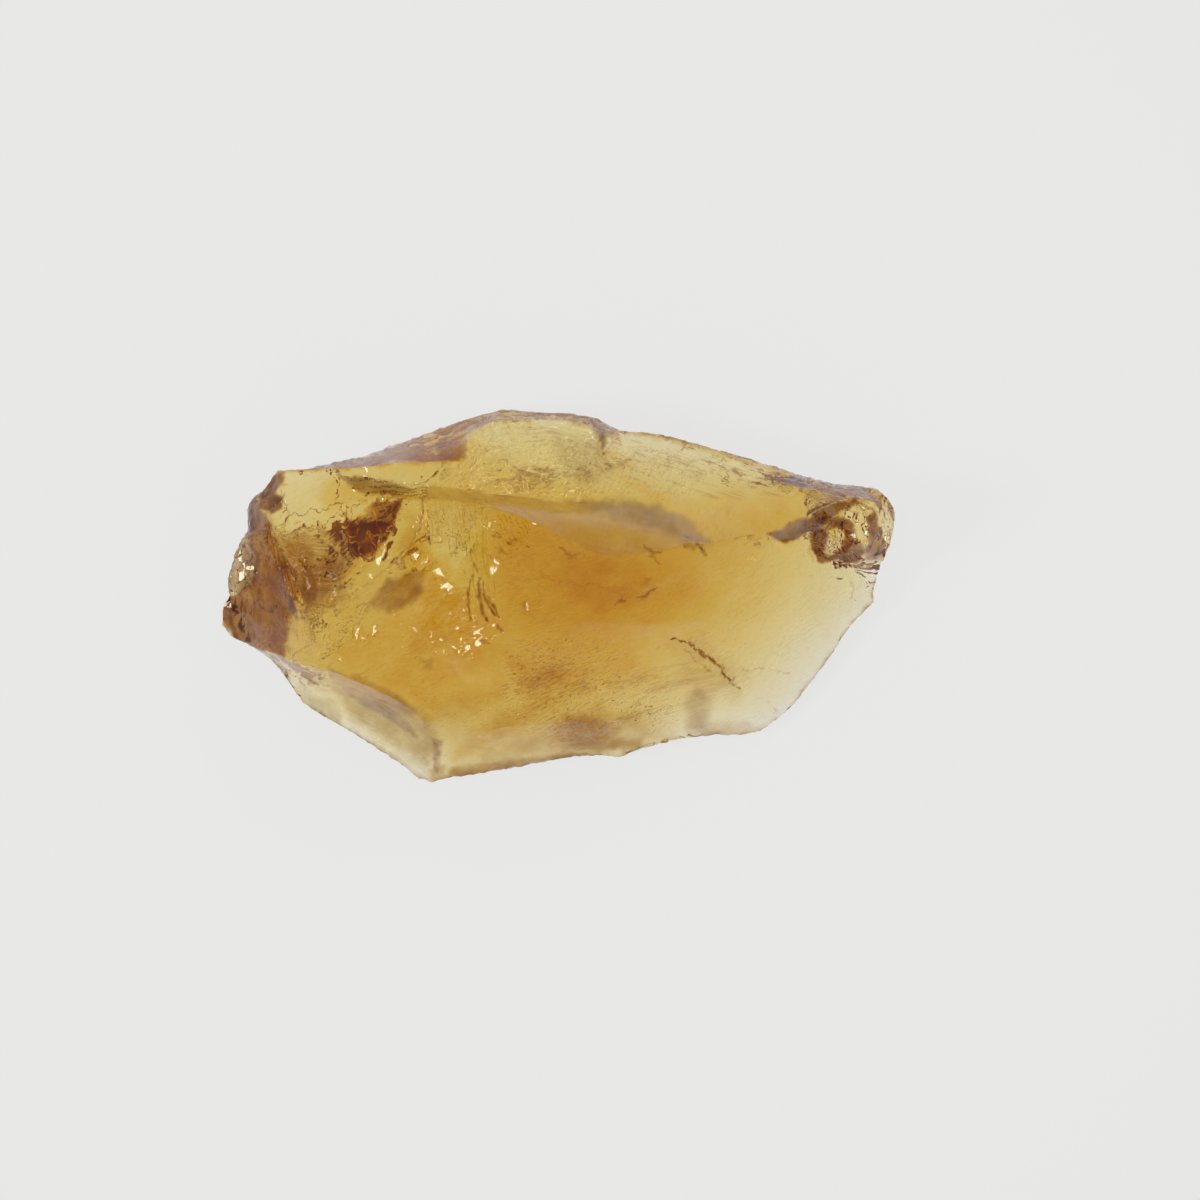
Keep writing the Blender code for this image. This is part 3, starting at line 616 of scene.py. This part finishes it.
def finer_copy(mesh, fine):
    """A mesh in which each edge between two of the fine vertices is halved; the old one is removed.

    A new vertex lies on the curve that the normals at its edge's two ends give, except beside a sharp edge.
    """
    spots, faces, facing = coordinates(mesh), triangles(mesh), normals(mesh)
    corners = spots[faces]
    flat = np.cross(corners[:, 1] - corners[:, 0], corners[:, 2] - corners[:, 0])
    flat /= np.maximum(np.linalg.norm(flat, axis=1), 1e-30)[:, None]
    leaning = (flat[:, None, :] * facing[faces]).sum(axis=2) < math.cos(SHARP * 0.6)
    sharp = np.zeros(len(spots), bool)
    sharp[faces[leaning]] = True
    edges = np.stack([faces, np.roll(faces, -1, axis=1)], axis=2).reshape(-1, 2)
    ordered = np.sort(edges, axis=1)
    unique, back = np.unique(ordered[:, 0] * (len(spots) + 1) + ordered[:, 1], return_inverse=True)
    ends = np.stack([unique // (len(spots) + 1), unique % (len(spots) + 1)], axis=1)
    cut = fine[ends[:, 0]] & fine[ends[:, 1]]
    number = np.full(len(ends), -1)
    number[cut] = len(spots) + np.arange(cut.sum())
    first, second = ends[cut].T
    way = spots[second] - spots[first]
    bulge = (way * facing[first]).sum(axis=1)[:, None] * facing[first]
    bulge -= (way * facing[second]).sum(axis=1)[:, None] * facing[second]
    curved = ~(sharp[first] | sharp[second])
    middles = (spots[first] + spots[second]) / 2 - bulge / 8 * curved[:, None]
    made = number[back.reshape(-1)].reshape(-1, 3)
    new = []
    for turn in range(3):
        a, b, c = (np.roll(faces, -turn, axis=1)[:, k] for k in range(3))
        m, n, o = (np.roll(made, -turn, axis=1)[:, k] for k in range(3))
        one = (m >= 0) & (n < 0) & (o < 0)
        new += [np.stack([a, m, c], 1)[one], np.stack([m, b, c], 1)[one]]
        two = (m >= 0) & (n >= 0) & (o < 0)
        new += [np.stack([m, b, n], 1)[two], np.stack([a, m, n], 1)[two], np.stack([a, n, c], 1)[two]]
    a, b, c = faces.T
    m, n, o = made.T
    three = (made >= 0).all(axis=1)
    new += [np.stack(corners, 1)[three] for corners in ((a, m, o), (m, b, n), (o, n, c), (m, n, o))]
    new.append(faces[(made < 0).all(axis=1)])
    return mesh_of(np.concatenate([spots, middles]), np.concatenate(new), mesh)


def mesh_of(spots, faces, old):
    bpy.data.meshes.remove(old)
    mesh = bpy.data.meshes.new("stone")
    mesh.vertices.add(len(spots))
    mesh.vertices.foreach_set("co", spots.ravel())
    mesh.loops.add(faces.size)
    mesh.loops.foreach_set("vertex_index", faces.ravel())
    mesh.polygons.add(len(faces))
    mesh.polygons.foreach_set("loop_start", np.arange(len(faces)) * 3)
    mesh.update(calc_edges=True)
    mesh.validate()
    mesh.shade_smooth()
    return mesh


def upper_vertices(mesh):
    """Which vertices lie on the upper side, on the rim or in a stepped undercut."""
    spots = coordinates(mesh) / MM
    seen = normals(mesh)[:, 2] > -0.2
    for (outline,) in PLAIN:
        seen &= polygon_mask(spots, outline, FADE["mesh"]) < 0.5
    for path, width, _, _, _, _ in CRACKS:
        seen |= np.abs(beside_path(spots, path, False)[0]) < width + 0.2
    for _, outline, _ in UNDERCUTS:
        seen |= (polygon_mask(spots, outline, FADE["mesh"]) > 0.5) & (spots[:, 2] > UNCARVED)
    return seen


def fine_vertices(mesh):
    """Which vertices lie where there is relief that needs a finer mesh."""
    spots = coordinates(mesh) / MM
    upper = normals(mesh)[:, 2] > -0.05
    fine = np.zeros(len(spots), bool)
    for _, outline, _, spacing, rise, _, _ in STREAKS:
        if rise / spacing > FINE_HACKLE:
            fine |= polygon_mask(spots, outline, FADE["mesh"]) > 0.5
    for _, outline, _, _, _, _, cover in TERRACES:
        if cover > FINE_TERRACE:
            fine |= polygon_mask(spots, outline, FADE["mesh"]) > 0.3
    for _, outline, scales, _, _ in PITTED:
        if scales > FINE_SCARS:
            fine |= polygon_mask(spots, outline, FADE["mesh"]) > 0.5
    for path, width, _, _, _, _ in CRACKS:
        fine |= np.abs(beside_path(spots, path, False)[0]) < width + 0.08
    fine &= upper
    for _, outline, step in UNDERCUTS:
        if step > FINE_STEP:
            fine |= (polygon_mask(spots, outline, FADE["mesh"]) > 0.5) & (spots[:, 2] > 0.1) & ~upper
    return fine


def store(mesh, **layers):
    """Keeps values for the mesh's vertices, each layer under its name."""
    for name, values in layers.items():
        layer = mesh.attributes.new(name, "FLOAT", "POINT")
        layer.data.foreach_set("value", np.asarray(values, np.float32))


def shared_out(mask, shares):
    """The mask once for each share, times that share."""
    return mask * np.array(shares)[:, None]


def paint_hackle(mesh, ragged, spots, upper):
    """Stores the fine parallel steps. Where two areas meet, the stronger one holds."""
    amount, height, haze, sharp, across, along = (np.zeros(len(spots)) for _ in range(6))
    for _, outline, path, spacing, rise, keen, dull in STREAKS:
        mask = polygon_mask(ragged, outline, FADE["hackle"]) * upper
        side, ahead = beside_path(spots, path, True)
        best = mask > amount
        across = np.where(best, side / spacing, across)
        along = np.where(best, ahead / spacing, along)
        height = np.where(best, rise, height)
        sharp = np.where(best, keen, sharp)
        haze = np.maximum(haze, mask * dull)
        amount = np.maximum(amount, mask)
    store(mesh, hackle=amount * height, across=across, along=along, sharp=sharp, haze=haze)


def paint_pits(mesh, ragged, upper):
    """Stores the amounts of flake scars, fine pits and grain."""
    amounts = np.zeros((3, len(upper)))
    for _, outline, *shares in PITTED:
        mask = polygon_mask(ragged, outline, FADE["pitted"]) * upper
        amounts = np.maximum(amounts, shared_out(mask, shares))
    store(mesh, scales=amounts[0], pits=amounts[1], grain=amounts[2])


def carve_terraces(carve, ragged, spots, upper):
    """Adds the stacks of flat facets to carve, and gives how much of the other relief is left there."""
    calm = np.ones(len(spots))
    for index, (_, outline, lean, heading, step, uneven, cover) in enumerate(TERRACES):
        mask = polygon_mask(ragged, outline, FADE["terrace"]) * upper
        if cover < 1.0:
            patches = cloud(spots, 0.45, SEED["patches"] + index, 2)
            mask *= np.clip((patches + 2 * cover - 1) * 6, 0, 1)
        calm = np.minimum(calm, 1.0 - 0.92 * mask)
        facing = math.radians(heading)
        slope = math.tan(math.radians(lean))
        level = -slope * (spots[:, 0] * math.cos(facing) + spots[:, 1] * math.sin(facing))
        level += 0.03 * uneven * cloud(spots, 0.9, SEED["tilt"] + index, 2)
        wanted = (spots[:, 2] - level) / step
        wanted -= np.average(wanted, weights=mask + 1e-9)
        jag = min(0.5, 0.07 / step) * cloud(spots, 0.35, SEED["jag"] + index)
        carve += mask * (np.round(wanted + jag) - wanted) * step
    return calm


def carve_undercuts(carve, ragged, spots, lower):
    """Adds the flat treads of the undercuts to carve."""
    for index, (_, outline, step) in enumerate(UNDERCUTS):
        mask = polygon_mask(ragged, outline, FADE["undercut"]) * lower
        mask *= np.clip((spots[:, 2] - 0.15) / 0.2, 0, 1)
        heights = spots[:, 2] + 0.25 * step * cloud(spots, 0.8, SEED["undercut"] + index, 2)
        carve += mask * (uneven_steps(heights, step, index) - heights)


def carve_cracks(carve, spots, upper):
    """Adds the cracks to carve, and gives the brown that lies in them."""
    brown = np.zeros(len(spots))
    for index, (path, width, depth, wander, teeth, dark) in enumerate(CRACKS):
        side, run = beside_path(wandered(spots, wander, 0.28, SEED["crack"] + index), path, False)
        whole = sum(math.dist(a, b) for a, b in zip(path, path[1:]))
        taper = 0.45 + 0.55 * np.sin(np.pi * np.clip(run / whole, 0, 1))
        saw = 1.0 - teeth * ((run / 0.3 + 0.5 * side / width) % 1.0)
        ripple = 1.0 + 0.35 * cloud(spots, 0.2, SEED["crack width"] + index, 2)
        spread = width * taper * np.maximum(saw, 0.2) * ripple
        shape = np.exp(-((side / spread) ** 2)) * upper
        carve -= depth * shape
        stain = 0.75 + 0.6 * cloud(spots, 0.25, SEED["stain"] + index, 2)
        brown += dark * shape * np.clip(stain, 0, 1.2)
    return brown


def paint_relief(mesh):
    """Stores where each kind of relief and each film of colour lies; many films are painted shade."""
    spots = coordinates(mesh) / MM
    up = normals(mesh)[:, 2]
    upper = np.clip((up + 0.05) / 0.15, 0, 1)
    lower = np.clip((-up - 0.1) / 0.2, 0, 1)
    ragged = wandered(spots, 0.13, 0.5, SEED["ragged"])
    paint_hackle(mesh, ragged, spots, upper)
    paint_pits(mesh, ragged, upper)

    carve = np.zeros(len(spots))
    calm = carve_terraces(carve, ragged, spots, upper)
    carve_undercuts(carve, ragged, spots, lower)
    brown = carve_cracks(carve, spots, upper)

    gold = DEEPER_GOLD * np.clip(spots[:, 2] - THIN, 0, None) * upper
    films = np.stack([gold, brown, np.zeros(len(spots))])
    # Painted shade comes in here: many SHADES rows darken steep faces, ends and rims that turn the light
    # back inside.
    for index, (_, outline, soft, *shares) in enumerate(SHADES):
        mask = polygon_mask(ragged, outline, soft) * upper
        mask *= 1.0 + 0.4 * cloud(spots, 0.7, SEED["film"] + index)
        films += shared_out(mask, shares)
    # Painted shade: a darker band of gold, brown and frost along the rim.
    rim = np.abs(beside_path(wandered(spots, 0.05, 0.4, SEED["rim"]), RIM, False)[0])
    edge = np.exp(-((rim / RIM_SHADE_WIDTH) ** 2)) * upper
    edge *= 0.7 + 0.8 * cloud(spots, 0.5, SEED["rim film"], 2)
    films += shared_out(edge, RIM_SHADE_AMOUNTS)

    above = spots[:, 2] > UNCARVED
    resting = (spots[:, 2] < 0.02) | (up < -0.9995)
    store(
        mesh,
        carve=np.maximum(carve, UNCARVED - spots[:, 2]) * above,
        calm=calm * np.where(up < 0, 0.5, 1.0),
        gold=np.maximum(films[0], 0.0),
        brown=np.maximum(films[1], 0.0),
        frost=films[2],
        rim=np.clip(1.3 - rim / 0.35, 0, 1),
        free=np.where(resting, 0.0, 1.0),
    )


def socket_name(setting):
    """The name that a setting has among the relief's inputs."""
    return setting.replace("_", " ").capitalize()


def relief_tree():
    """Geometry nodes that push the surface out and in, by the layers that are stored on the mesh."""
    tree = bpy.data.node_groups.new("Fracture relief", "GeometryNodeTree")
    face = tree.interface
    face.new_socket("Geometry", in_out="INPUT", socket_type="NodeSocketGeometry")
    face.new_socket("Geometry", in_out="OUTPUT", socket_type="NodeSocketGeometry")
    for name in (*RELIEF_LENGTHS, "hackle_height"):
        face.new_socket(socket_name(name), in_out="INPUT", socket_type="NodeSocketFloat")
    face.new_socket("Seed", in_out="INPUT", socket_type="NodeSocketInt")
    face.new_socket("Material", in_out="INPUT", socket_type="NodeSocketMaterial")
    g = Graph(tree)
    source = g.node("NodeGroupInput")

    def given(name):
        return Wire(g, source.outputs[name])

    def painted(name):
        made = g.node("GeometryNodeInputNamedAttribute", {"data_type": "FLOAT"}, {"Name": name})
        return Wire(g, made.outputs["Attribute"])

    place = g.wire(g.node("GeometryNodeInputPosition"))
    facing = g.wire(g.node("GeometryNodeInputNormal"))
    seeded = g.vector(given("Seed"), 0.0, 0.0)
    place = g.together(place, g.scaled(seeded, SHIFT))

    swell = g.noise(place, 1.0 / given("Swell size"), 3.0, 0.55) * given("Swell height")

    # Hackle: saw teeth where it is sharp and ripples where it is soft, both long drawn out along the steps.
    across, along, keen = painted("across"), painted("along"), painted("sharp")
    bend = g.noise(g.vector(across * 0.35, along * 0.10, given("Seed")), 1.0, 1.0) * 1.4
    phase = across + bend
    tooth = g.math("FRACT", phase) - 0.5
    fading = g.noise(g.vector(across * 0.6, along * 0.22, given("Seed") + 4.0), 1.0, 1.0) + 0.6
    soft = g.noise(g.vector(across, along * 0.11, given("Seed")), 1.0, 2.0, 0.6, 0.3) * 1.3
    steps = tooth * g.clamp(fading) * keen + soft * (1.0 - keen)
    hackle = steps * painted("hackle") * given("Hackle height")

    def scars(size):
        """Small hollows with curved edges."""
        values = {"Vector": place, "Scale": 1.0 / size, "Randomness": 1.0}
        return Wire(g, g.node("ShaderNodeTexVoronoi", {"feature": "F1"}, values).outputs["Distance"]) - 0.45

    scales = scars(given("Scale size")) * painted("scales") * given("Scale height")
    pits = scars(given("Pit size")) * painted("pits") * given("Pit height")
    grain = g.noise(place, 1.0 / given("Grain size"), 2.0, 0.6) * (painted("grain") + 0.12)
    grain = grain * given("Grain height")
    chips = g.noise(place, 2600.0, 3.0, 0.6) * painted("rim") * given("Chip height")

    # The relief stands square to the surface. What is carved moves straight up or down.
    relief = (swell + hackle + scales + pits + grain + chips) * painted("calm") * painted("free")
    upright = g.vector(0.0, 0.0, painted("carve") * painted("free") * MM)
    moves = {"Geometry": given("Geometry"), "Offset": g.together(g.scaled(facing, relief), upright)}
    moved = g.node("GeometryNodeSetPosition", None, moves)
    real = g.node("GeometryNodeRealizeInstances", None, {"Geometry": g.wire(moved)})
    skin = {"Geometry": g.wire(real), "Material": given("Material")}
    dressed = g.node("GeometryNodeSetMaterial", None, skin)
    g.node("NodeGroupOutput", None, {"Geometry": g.wire(dressed)})
    return tree


def add_relief(obj, settings, material):
    tree = relief_tree()
    modifier = obj.modifiers.new("Fracture relief", "NODES")
    modifier.node_group = tree
    given = {socket_name(name): getattr(settings, name) for name in RELIEF_LENGTHS}
    given["Hackle height"] = MM * settings.hackle_strength
    given.update({"Seed": settings.seed, "Material": material})
    for item in tree.interface.items_tree:
        if item.in_out == "INPUT" and item.name in given:
            modifier[item.identifier] = given[item.name]


def new_material(name):
    """A material without nodes, and the graph to fill it with."""
    material = bpy.data.materials.new(name)
    material.use_nodes = True
    material.node_tree.nodes.clear()
    return material, Graph(material.node_tree)


def citrine_material(settings):
    """Clear golden quartz that refracts and absorbs, under films of gold, brown and frost that also carry
    painted shade.
    """
    material, g = new_material("Citrine")

    def painted(name):
        return Wire(g, g.node("ShaderNodeAttribute", {"attribute_name": name}).outputs["Fac"])

    place = Wire(g, g.node("ShaderNodeTexCoord").outputs["Object"])
    # Noise that is read at a place has its scale in waves for each metre.
    steps = g.vector(painted("across") * 2.3, painted("along") * 0.16, 0.0)
    fine_hackle = g.noise(steps, 1.0, 3.0, 0.65) * painted("hackle") * 6.0
    fine_grain = g.noise(place, 5200.0, 3.0, 0.6) * (painted("grain") * 0.6 + 0.05)
    raised = {"Strength": 1.0, "Distance": 0.00004, "Height": fine_hackle + fine_grain}
    bump = g.node("ShaderNodeBump", None, raised)
    roughness = g.clamp(0.012 + painted("haze") * 0.15)
    # Painted shade: dark lines along the hackle's steps, for the darkness of their steep faces.
    lines = g.noise(g.vector(painted("across") * 1.6, painted("along") * 0.13, 5.0), 1.0, 3.0, 0.65)
    lines = g.clamp((lines - 0.08) * 2.4) * painted("hackle") * settings.line_strength
    specks = g.clamp((g.noise(place, 6000.0, 2.0, 0.6) - 0.26) * 4.0) * painted("grain")
    specks = specks * settings.speck_strength
    turn = math.radians(GRAIN_HEADING)
    swept = g.dot(place, (math.cos(turn), math.sin(turn), 0.0)) * 2600.0
    crossed = g.dot(place, (-math.sin(turn), math.cos(turn), 0.4)) * 7800.0
    fine = g.noise(g.vector(swept, crossed, 0.0), 1.0, 3.0, 0.7)
    broad = g.noise(g.vector(swept * 0.16, crossed * 0.13, 3.0), 1.0, 3.0, 0.65)
    texture = fine * (painted("grain") * 0.30 + 0.09) + broad * (painted("grain") * 0.12 + 0.03)
    mottle = g.noise(place, 650.0, 4.0, 0.7) * 0.35 + g.noise(place, 4200.0, 2.0, 0.6) * 0.14
    # The brown and frost films carry painted shade as well as stains, veils and grain.
    films = (
        (painted("gold") * (1.0 + mottle) + mottle * 0.25 * painted("free"), settings.gold_film),
        (g.math("MAXIMUM", painted("brown") + lines + specks + texture, 0.0), settings.brown_stain_and_shade_film),
        (painted("frost"), settings.frost_and_shade_film),
    )
    # Each film lets its colour through, and the more of it there is, the deeper that colour gets.
    tints = []
    for channel in range(3):
        depth = sum(amount * -math.log(film[channel]) for amount, film in films)
        tints.append(g.math("POWER", math.e, depth * -1.0))
    shader = g.node(
        "ShaderNodeBsdfPrincipled",
        None,
        {
            "Base Color": g.wire(g.node("ShaderNodeCombineColor", None, dict(enumerate(tints)))),
            "Roughness": roughness,
            "IOR": settings.ior,
            "Specular Tint": (*settings.shine_tint, 1.0),
            "Transmission Weight": 1.0,
            "Normal": g.wire(bump),
        },
    )
    tinting = {"Color": (*settings.body_colour, 1.0), "Density": settings.density}
    inside = g.node("ShaderNodeVolumeAbsorption", None, tinting)
    g.node("ShaderNodeOutputMaterial", None, {"Surface": g.wire(shader), "Volume": g.wire(inside)})
    return material


def floor_material(settings):
    """A pale matt surface, lit from below, whose glow fades away from the stone."""
    material, g = new_material("Floor")
    place = Wire(g, g.node("ShaderNodeTexCoord").outputs["Object"])
    reach = Wire(g, g.node("ShaderNodeVectorMath", {"operation": "LENGTH"}, {0: place}).outputs["Value"])
    near, far = GLOW_FADES
    fading = {"Value": reach, "From Min": near, "From Max": far, "To Min": settings.floor_glow}
    fading["To Max"] = settings.floor_glow * settings.floor_fade
    glow = g.node("ShaderNodeMapRange", {"interpolation_type": "SMOOTHSTEP"}, fading)
    colour = settings.floor_colour
    tinted = [g.wire(glow) * share for share in colour]
    light = g.wire(g.node("ShaderNodeCombineColor", None, dict(enumerate(tinted))))
    shader = g.node(
        "ShaderNodeBsdfPrincipled",
        None,
        {
            "Base Color": (*[share * 0.12 for share in colour], 1.0),
            "Roughness": 0.9,
            "Specular IOR Level": 0.0,
            "Emission Color": light,
            "Emission Strength": 1.0,
        },
    )
    g.node("ShaderNodeOutputMaterial", None, {"Surface": g.wire(shader)})
    return material


COLOUR = {"subtype": "COLOR", "size": 3, "min": 0.0, "max": 1.0}
FILM = {"subtype": "COLOR", "size": 3, "min": 0.01, "max": 1.0}


class CitrineStone(bpy.types.PropertyGroup):
    body_colour: FloatVectorProperty(
        name="Body colour", description="Colour that the clear quartz lets through",
        default=(0.89, 0.73, 0.0), **COLOUR,
    )
    density: FloatProperty(
        name="Depth of colour", description="How fast the colour deepens with thickness, per metre",
        default=285.0,
    )
    ior: FloatProperty(name="Refractive index", description="Quartz bends light by this much", default=1.55)
    level: IntProperty(
        name="Rounding", description="Times that the stone's faces are divided", default=1, min=0, max=2
    )
    swell_height: FloatProperty(
        name="Swell height", description="Height of the broad swells", default=0.00008, subtype="DISTANCE"
    )
    swell_size: FloatProperty(
        name="Swell size", description="Width of the broad swells", default=0.0016, subtype="DISTANCE"
    )
    hackle_strength: FloatProperty(
        name="Hackle strength", description="Height of the fine steps", default=1.0
    )
    scale_height: FloatProperty(
        name="Scale height", description="Height of the small curved flake scars",
        default=0.00030, subtype="DISTANCE",
    )
    scale_size: FloatProperty(
        name="Scale size", description="Width of the small curved flake scars",
        default=0.0007, subtype="DISTANCE",
    )
    pit_height: FloatProperty(
        name="Pit height", description="Depth of the smallest pits", default=0.00014, subtype="DISTANCE"
    )
    pit_size: FloatProperty(
        name="Pit size", description="Width of the smallest pits", default=0.00038, subtype="DISTANCE"
    )
    chip_height: FloatProperty(
        name="Chip height", description="Depth of the tiny chips along the rim",
        default=0.00016, subtype="DISTANCE",
    )
    shine_tint: FloatVectorProperty(
        name="Shine tint", description="Warmth of the reflections on the stone",
        default=(0.98, 0.96, 0.80), **COLOUR,
    )
    gold_film: FloatVectorProperty(
        name="Gold film", description="Colour of the deeper gold clouds", default=(0.85, 0.50, 0.09), **FILM
    )
    # The brown film colours the cracks and is also the painted shade of faces that turn the light back
    # inside the stone.
    brown_stain_and_shade_film: FloatVectorProperty(
        name="Brown film", description="Colour of the brown cracks and smoky films",
        default=(0.115, 0.034, 0.02), **FILM,
    )
    # The frost film darkens with a greyish tint: painted shade and sheen on steep faces and rims, and
    # greyish veils elsewhere.
    frost_and_shade_film: FloatVectorProperty(
        name="Frost film", description="Colour of the greyish veils", default=(0.42, 0.345, 0.27), **FILM
    )
    line_strength: FloatProperty(
        name="Line strength", description="Darkness of the hackle's lines", default=4.0
    )
    speck_strength: FloatProperty(
        name="Speck strength", description="Darkness of the grain's specks", default=0.5
    )
    grain_height: FloatProperty(
        name="Grain height", description="Height of the pitted areas' grain",
        default=0.00006, subtype="DISTANCE",
    )
    grain_size: FloatProperty(
        name="Grain size", description="Width of the pitted areas' grain",
        default=0.0004, subtype="DISTANCE",
    )
    seed: IntProperty(name="Seed", description="Starting number of the random relief", default=3)


class CitrineStage(bpy.types.PropertyGroup):
    floor_colour: FloatVectorProperty(
        name="Surface colour", description="Colour of the bright surface",
        default=(1.0, 1.0, 0.995), **COLOUR,
    )
    floor_glow: FloatProperty(
        name="Surface glow", description="Light that the surface gives off", default=0.73
    )
    floor_fade: FloatProperty(
        name="Far glow", description="Share of the glow that is left far from the stone", default=0.8
    )
    floor_radius: FloatProperty(
        name="Surface radius", description="Reach of the surface", default=1.5, subtype="DISTANCE"
    )
    horizon: FloatProperty(name="Horizon", description="Brightness of the room low down", default=0.62)
    zenith: FloatProperty(name="Zenith", description="Brightness of the room overhead", default=0.42)
    view_width: FloatProperty(
        name="View width", description="Width that the camera takes in", default=0.0607, subtype="DISTANCE"
    )
    lens: FloatProperty(name="Lens", description="Focal length of the camera in millimetres", default=300.0)


class CITRINE_OT_stone(bpy.types.Operator):
    """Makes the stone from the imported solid"""

    bl_idname = "citrine.stone"
    bl_label = "Stone"

    def execute(self, context):
        settings = context.scene.citrine_stone
        mesh = rounded_copy(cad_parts["citrine"], settings.level)
        mesh = finer_copy(mesh, upper_vertices(mesh))
        mesh = finer_copy(mesh, fine_vertices(mesh))
        paint_relief(mesh)
        obj = bpy.data.objects.new("stone", mesh)
        context.collection.objects.link(obj)
        material = citrine_material(settings)
        add_relief(obj, settings, material)
        shaped = evaluated_mesh(obj)
        obj.modifiers.clear()
        obj.data = shaped
        shaped.name = "stone"
        bpy.data.meshes.remove(mesh)
        shaped.shade_smooth()
        shaped.set_sharp_from_angle(angle=CREASED)
        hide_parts("citrine")
        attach(obj, "root")
        return {"FINISHED"}


class CITRINE_OT_stage(bpy.types.Operator):
    """Makes the bright surface, the room's light and the camera"""

    bl_idname = "citrine.stage"
    bl_label = "Surface, light and camera"

    def execute(self, context):
        settings = context.scene.citrine_stage
        bm = bmesh.new()
        bmesh.ops.create_circle(bm, cap_ends=True, radius=settings.floor_radius, segments=96)
        bmesh.ops.translate(bm, verts=bm.verts, vec=(0.0, 0.0, -FLOOR_DROP))
        mesh = bpy.data.meshes.new("floor")
        bm.to_mesh(mesh)
        bm.free()
        floor = bpy.data.objects.new("floor", mesh)
        context.collection.objects.link(floor)
        mesh.materials.append(floor_material(settings))
        self.make_room(context, settings)
        self.make_lights(context)
        self.make_camera(context, settings)
        scene = context.scene
        scene.view_settings.view_transform = "Standard"
        scene.cycles.use_denoising = True
        scene.cycles.max_bounces = BOUNCES
        scene.cycles.transmission_bounces = BOUNCES
        scene.cycles.glossy_bounces = BOUNCES
        return {"FINISHED"}

    @staticmethod
    def make_room(context, settings):
        world = bpy.data.worlds.new("Room")
        context.scene.world = world
        world.use_nodes = True
        world.node_tree.nodes.clear()
        g = Graph(world.node_tree)
        way = Wire(g, g.node("ShaderNodeTexCoord").outputs["Generated"])
        rise = Wire(g, g.node("ShaderNodeSeparateXYZ", None, {0: way}).outputs["Z"])
        greys = [(settings.horizon,) * 3, (settings.zenith,) * 3]
        ramp = g.node("ShaderNodeValToRGB", {"stops": list(zip(ROOM_HEIGHTS, greys))}, {"Fac": rise})
        sky = g.node("ShaderNodeBackground", None, {"Color": g.wire(ramp)})
        g.node("ShaderNodeOutputWorld", None, {"Surface": g.wire(sky)})

    @staticmethod
    def make_lights(context):
        for name, (place, size, power) in LIGHTS.items():
            light = bpy.data.lights.new(name, "AREA")
            light.shape = "SQUARE"
            light.size = size
            light.energy = power
            obj = bpy.data.objects.new(name, light)
            context.collection.objects.link(obj)
            obj.location = place
            obj.rotation_euler = (-Vector(place)).to_track_quat("-Z", "Y").to_euler()

    @staticmethod
    def make_camera(context, settings):
        data = bpy.data.cameras.new("camera")
        data.sensor_width = SENSOR_WIDTH
        data.lens = settings.lens
        data.clip_start = 0.01
        camera = bpy.data.objects.new("camera", data)
        context.collection.objects.link(camera)
        camera.location = (*VIEW_CENTRE, settings.view_width / SENSOR_WIDTH * settings.lens)
        context.scene.camera = camera


class CITRINE_PT_panel(bpy.types.Panel):
    bl_idname = "CITRINE_PT_panel"
    bl_label = "Raw citrine"
    bl_space_type = "VIEW_3D"
    bl_region_type = "UI"
    bl_category = "Citrine"

    def draw(self, context):
        for group, command in (("citrine_stone", "citrine.stone"), ("citrine_stage", "citrine.stage")):
            settings = getattr(context.scene, group)
            for name in settings.bl_rna.properties.keys():
                if name not in ("rna_type", "name"):
                    self.layout.prop(settings, name)
            self.layout.operator(command)


CLASSES = (CitrineStone, CitrineStage, CITRINE_OT_stone, CITRINE_OT_stage, CITRINE_PT_panel)


def register():
    for made in CLASSES:
        bpy.utils.register_class(made)
    bpy.types.Scene.citrine_stone = PointerProperty(type=CitrineStone)
    bpy.types.Scene.citrine_stage = PointerProperty(type=CitrineStage)


def unregister():
    del bpy.types.Scene.citrine_stage
    del bpy.types.Scene.citrine_stone
    for made in reversed(CLASSES):
        bpy.utils.unregister_class(made)


def main():
    register()
    bpy.ops.citrine.stone()
    bpy.ops.citrine.stage()


if __name__ == "__main__":
    main()
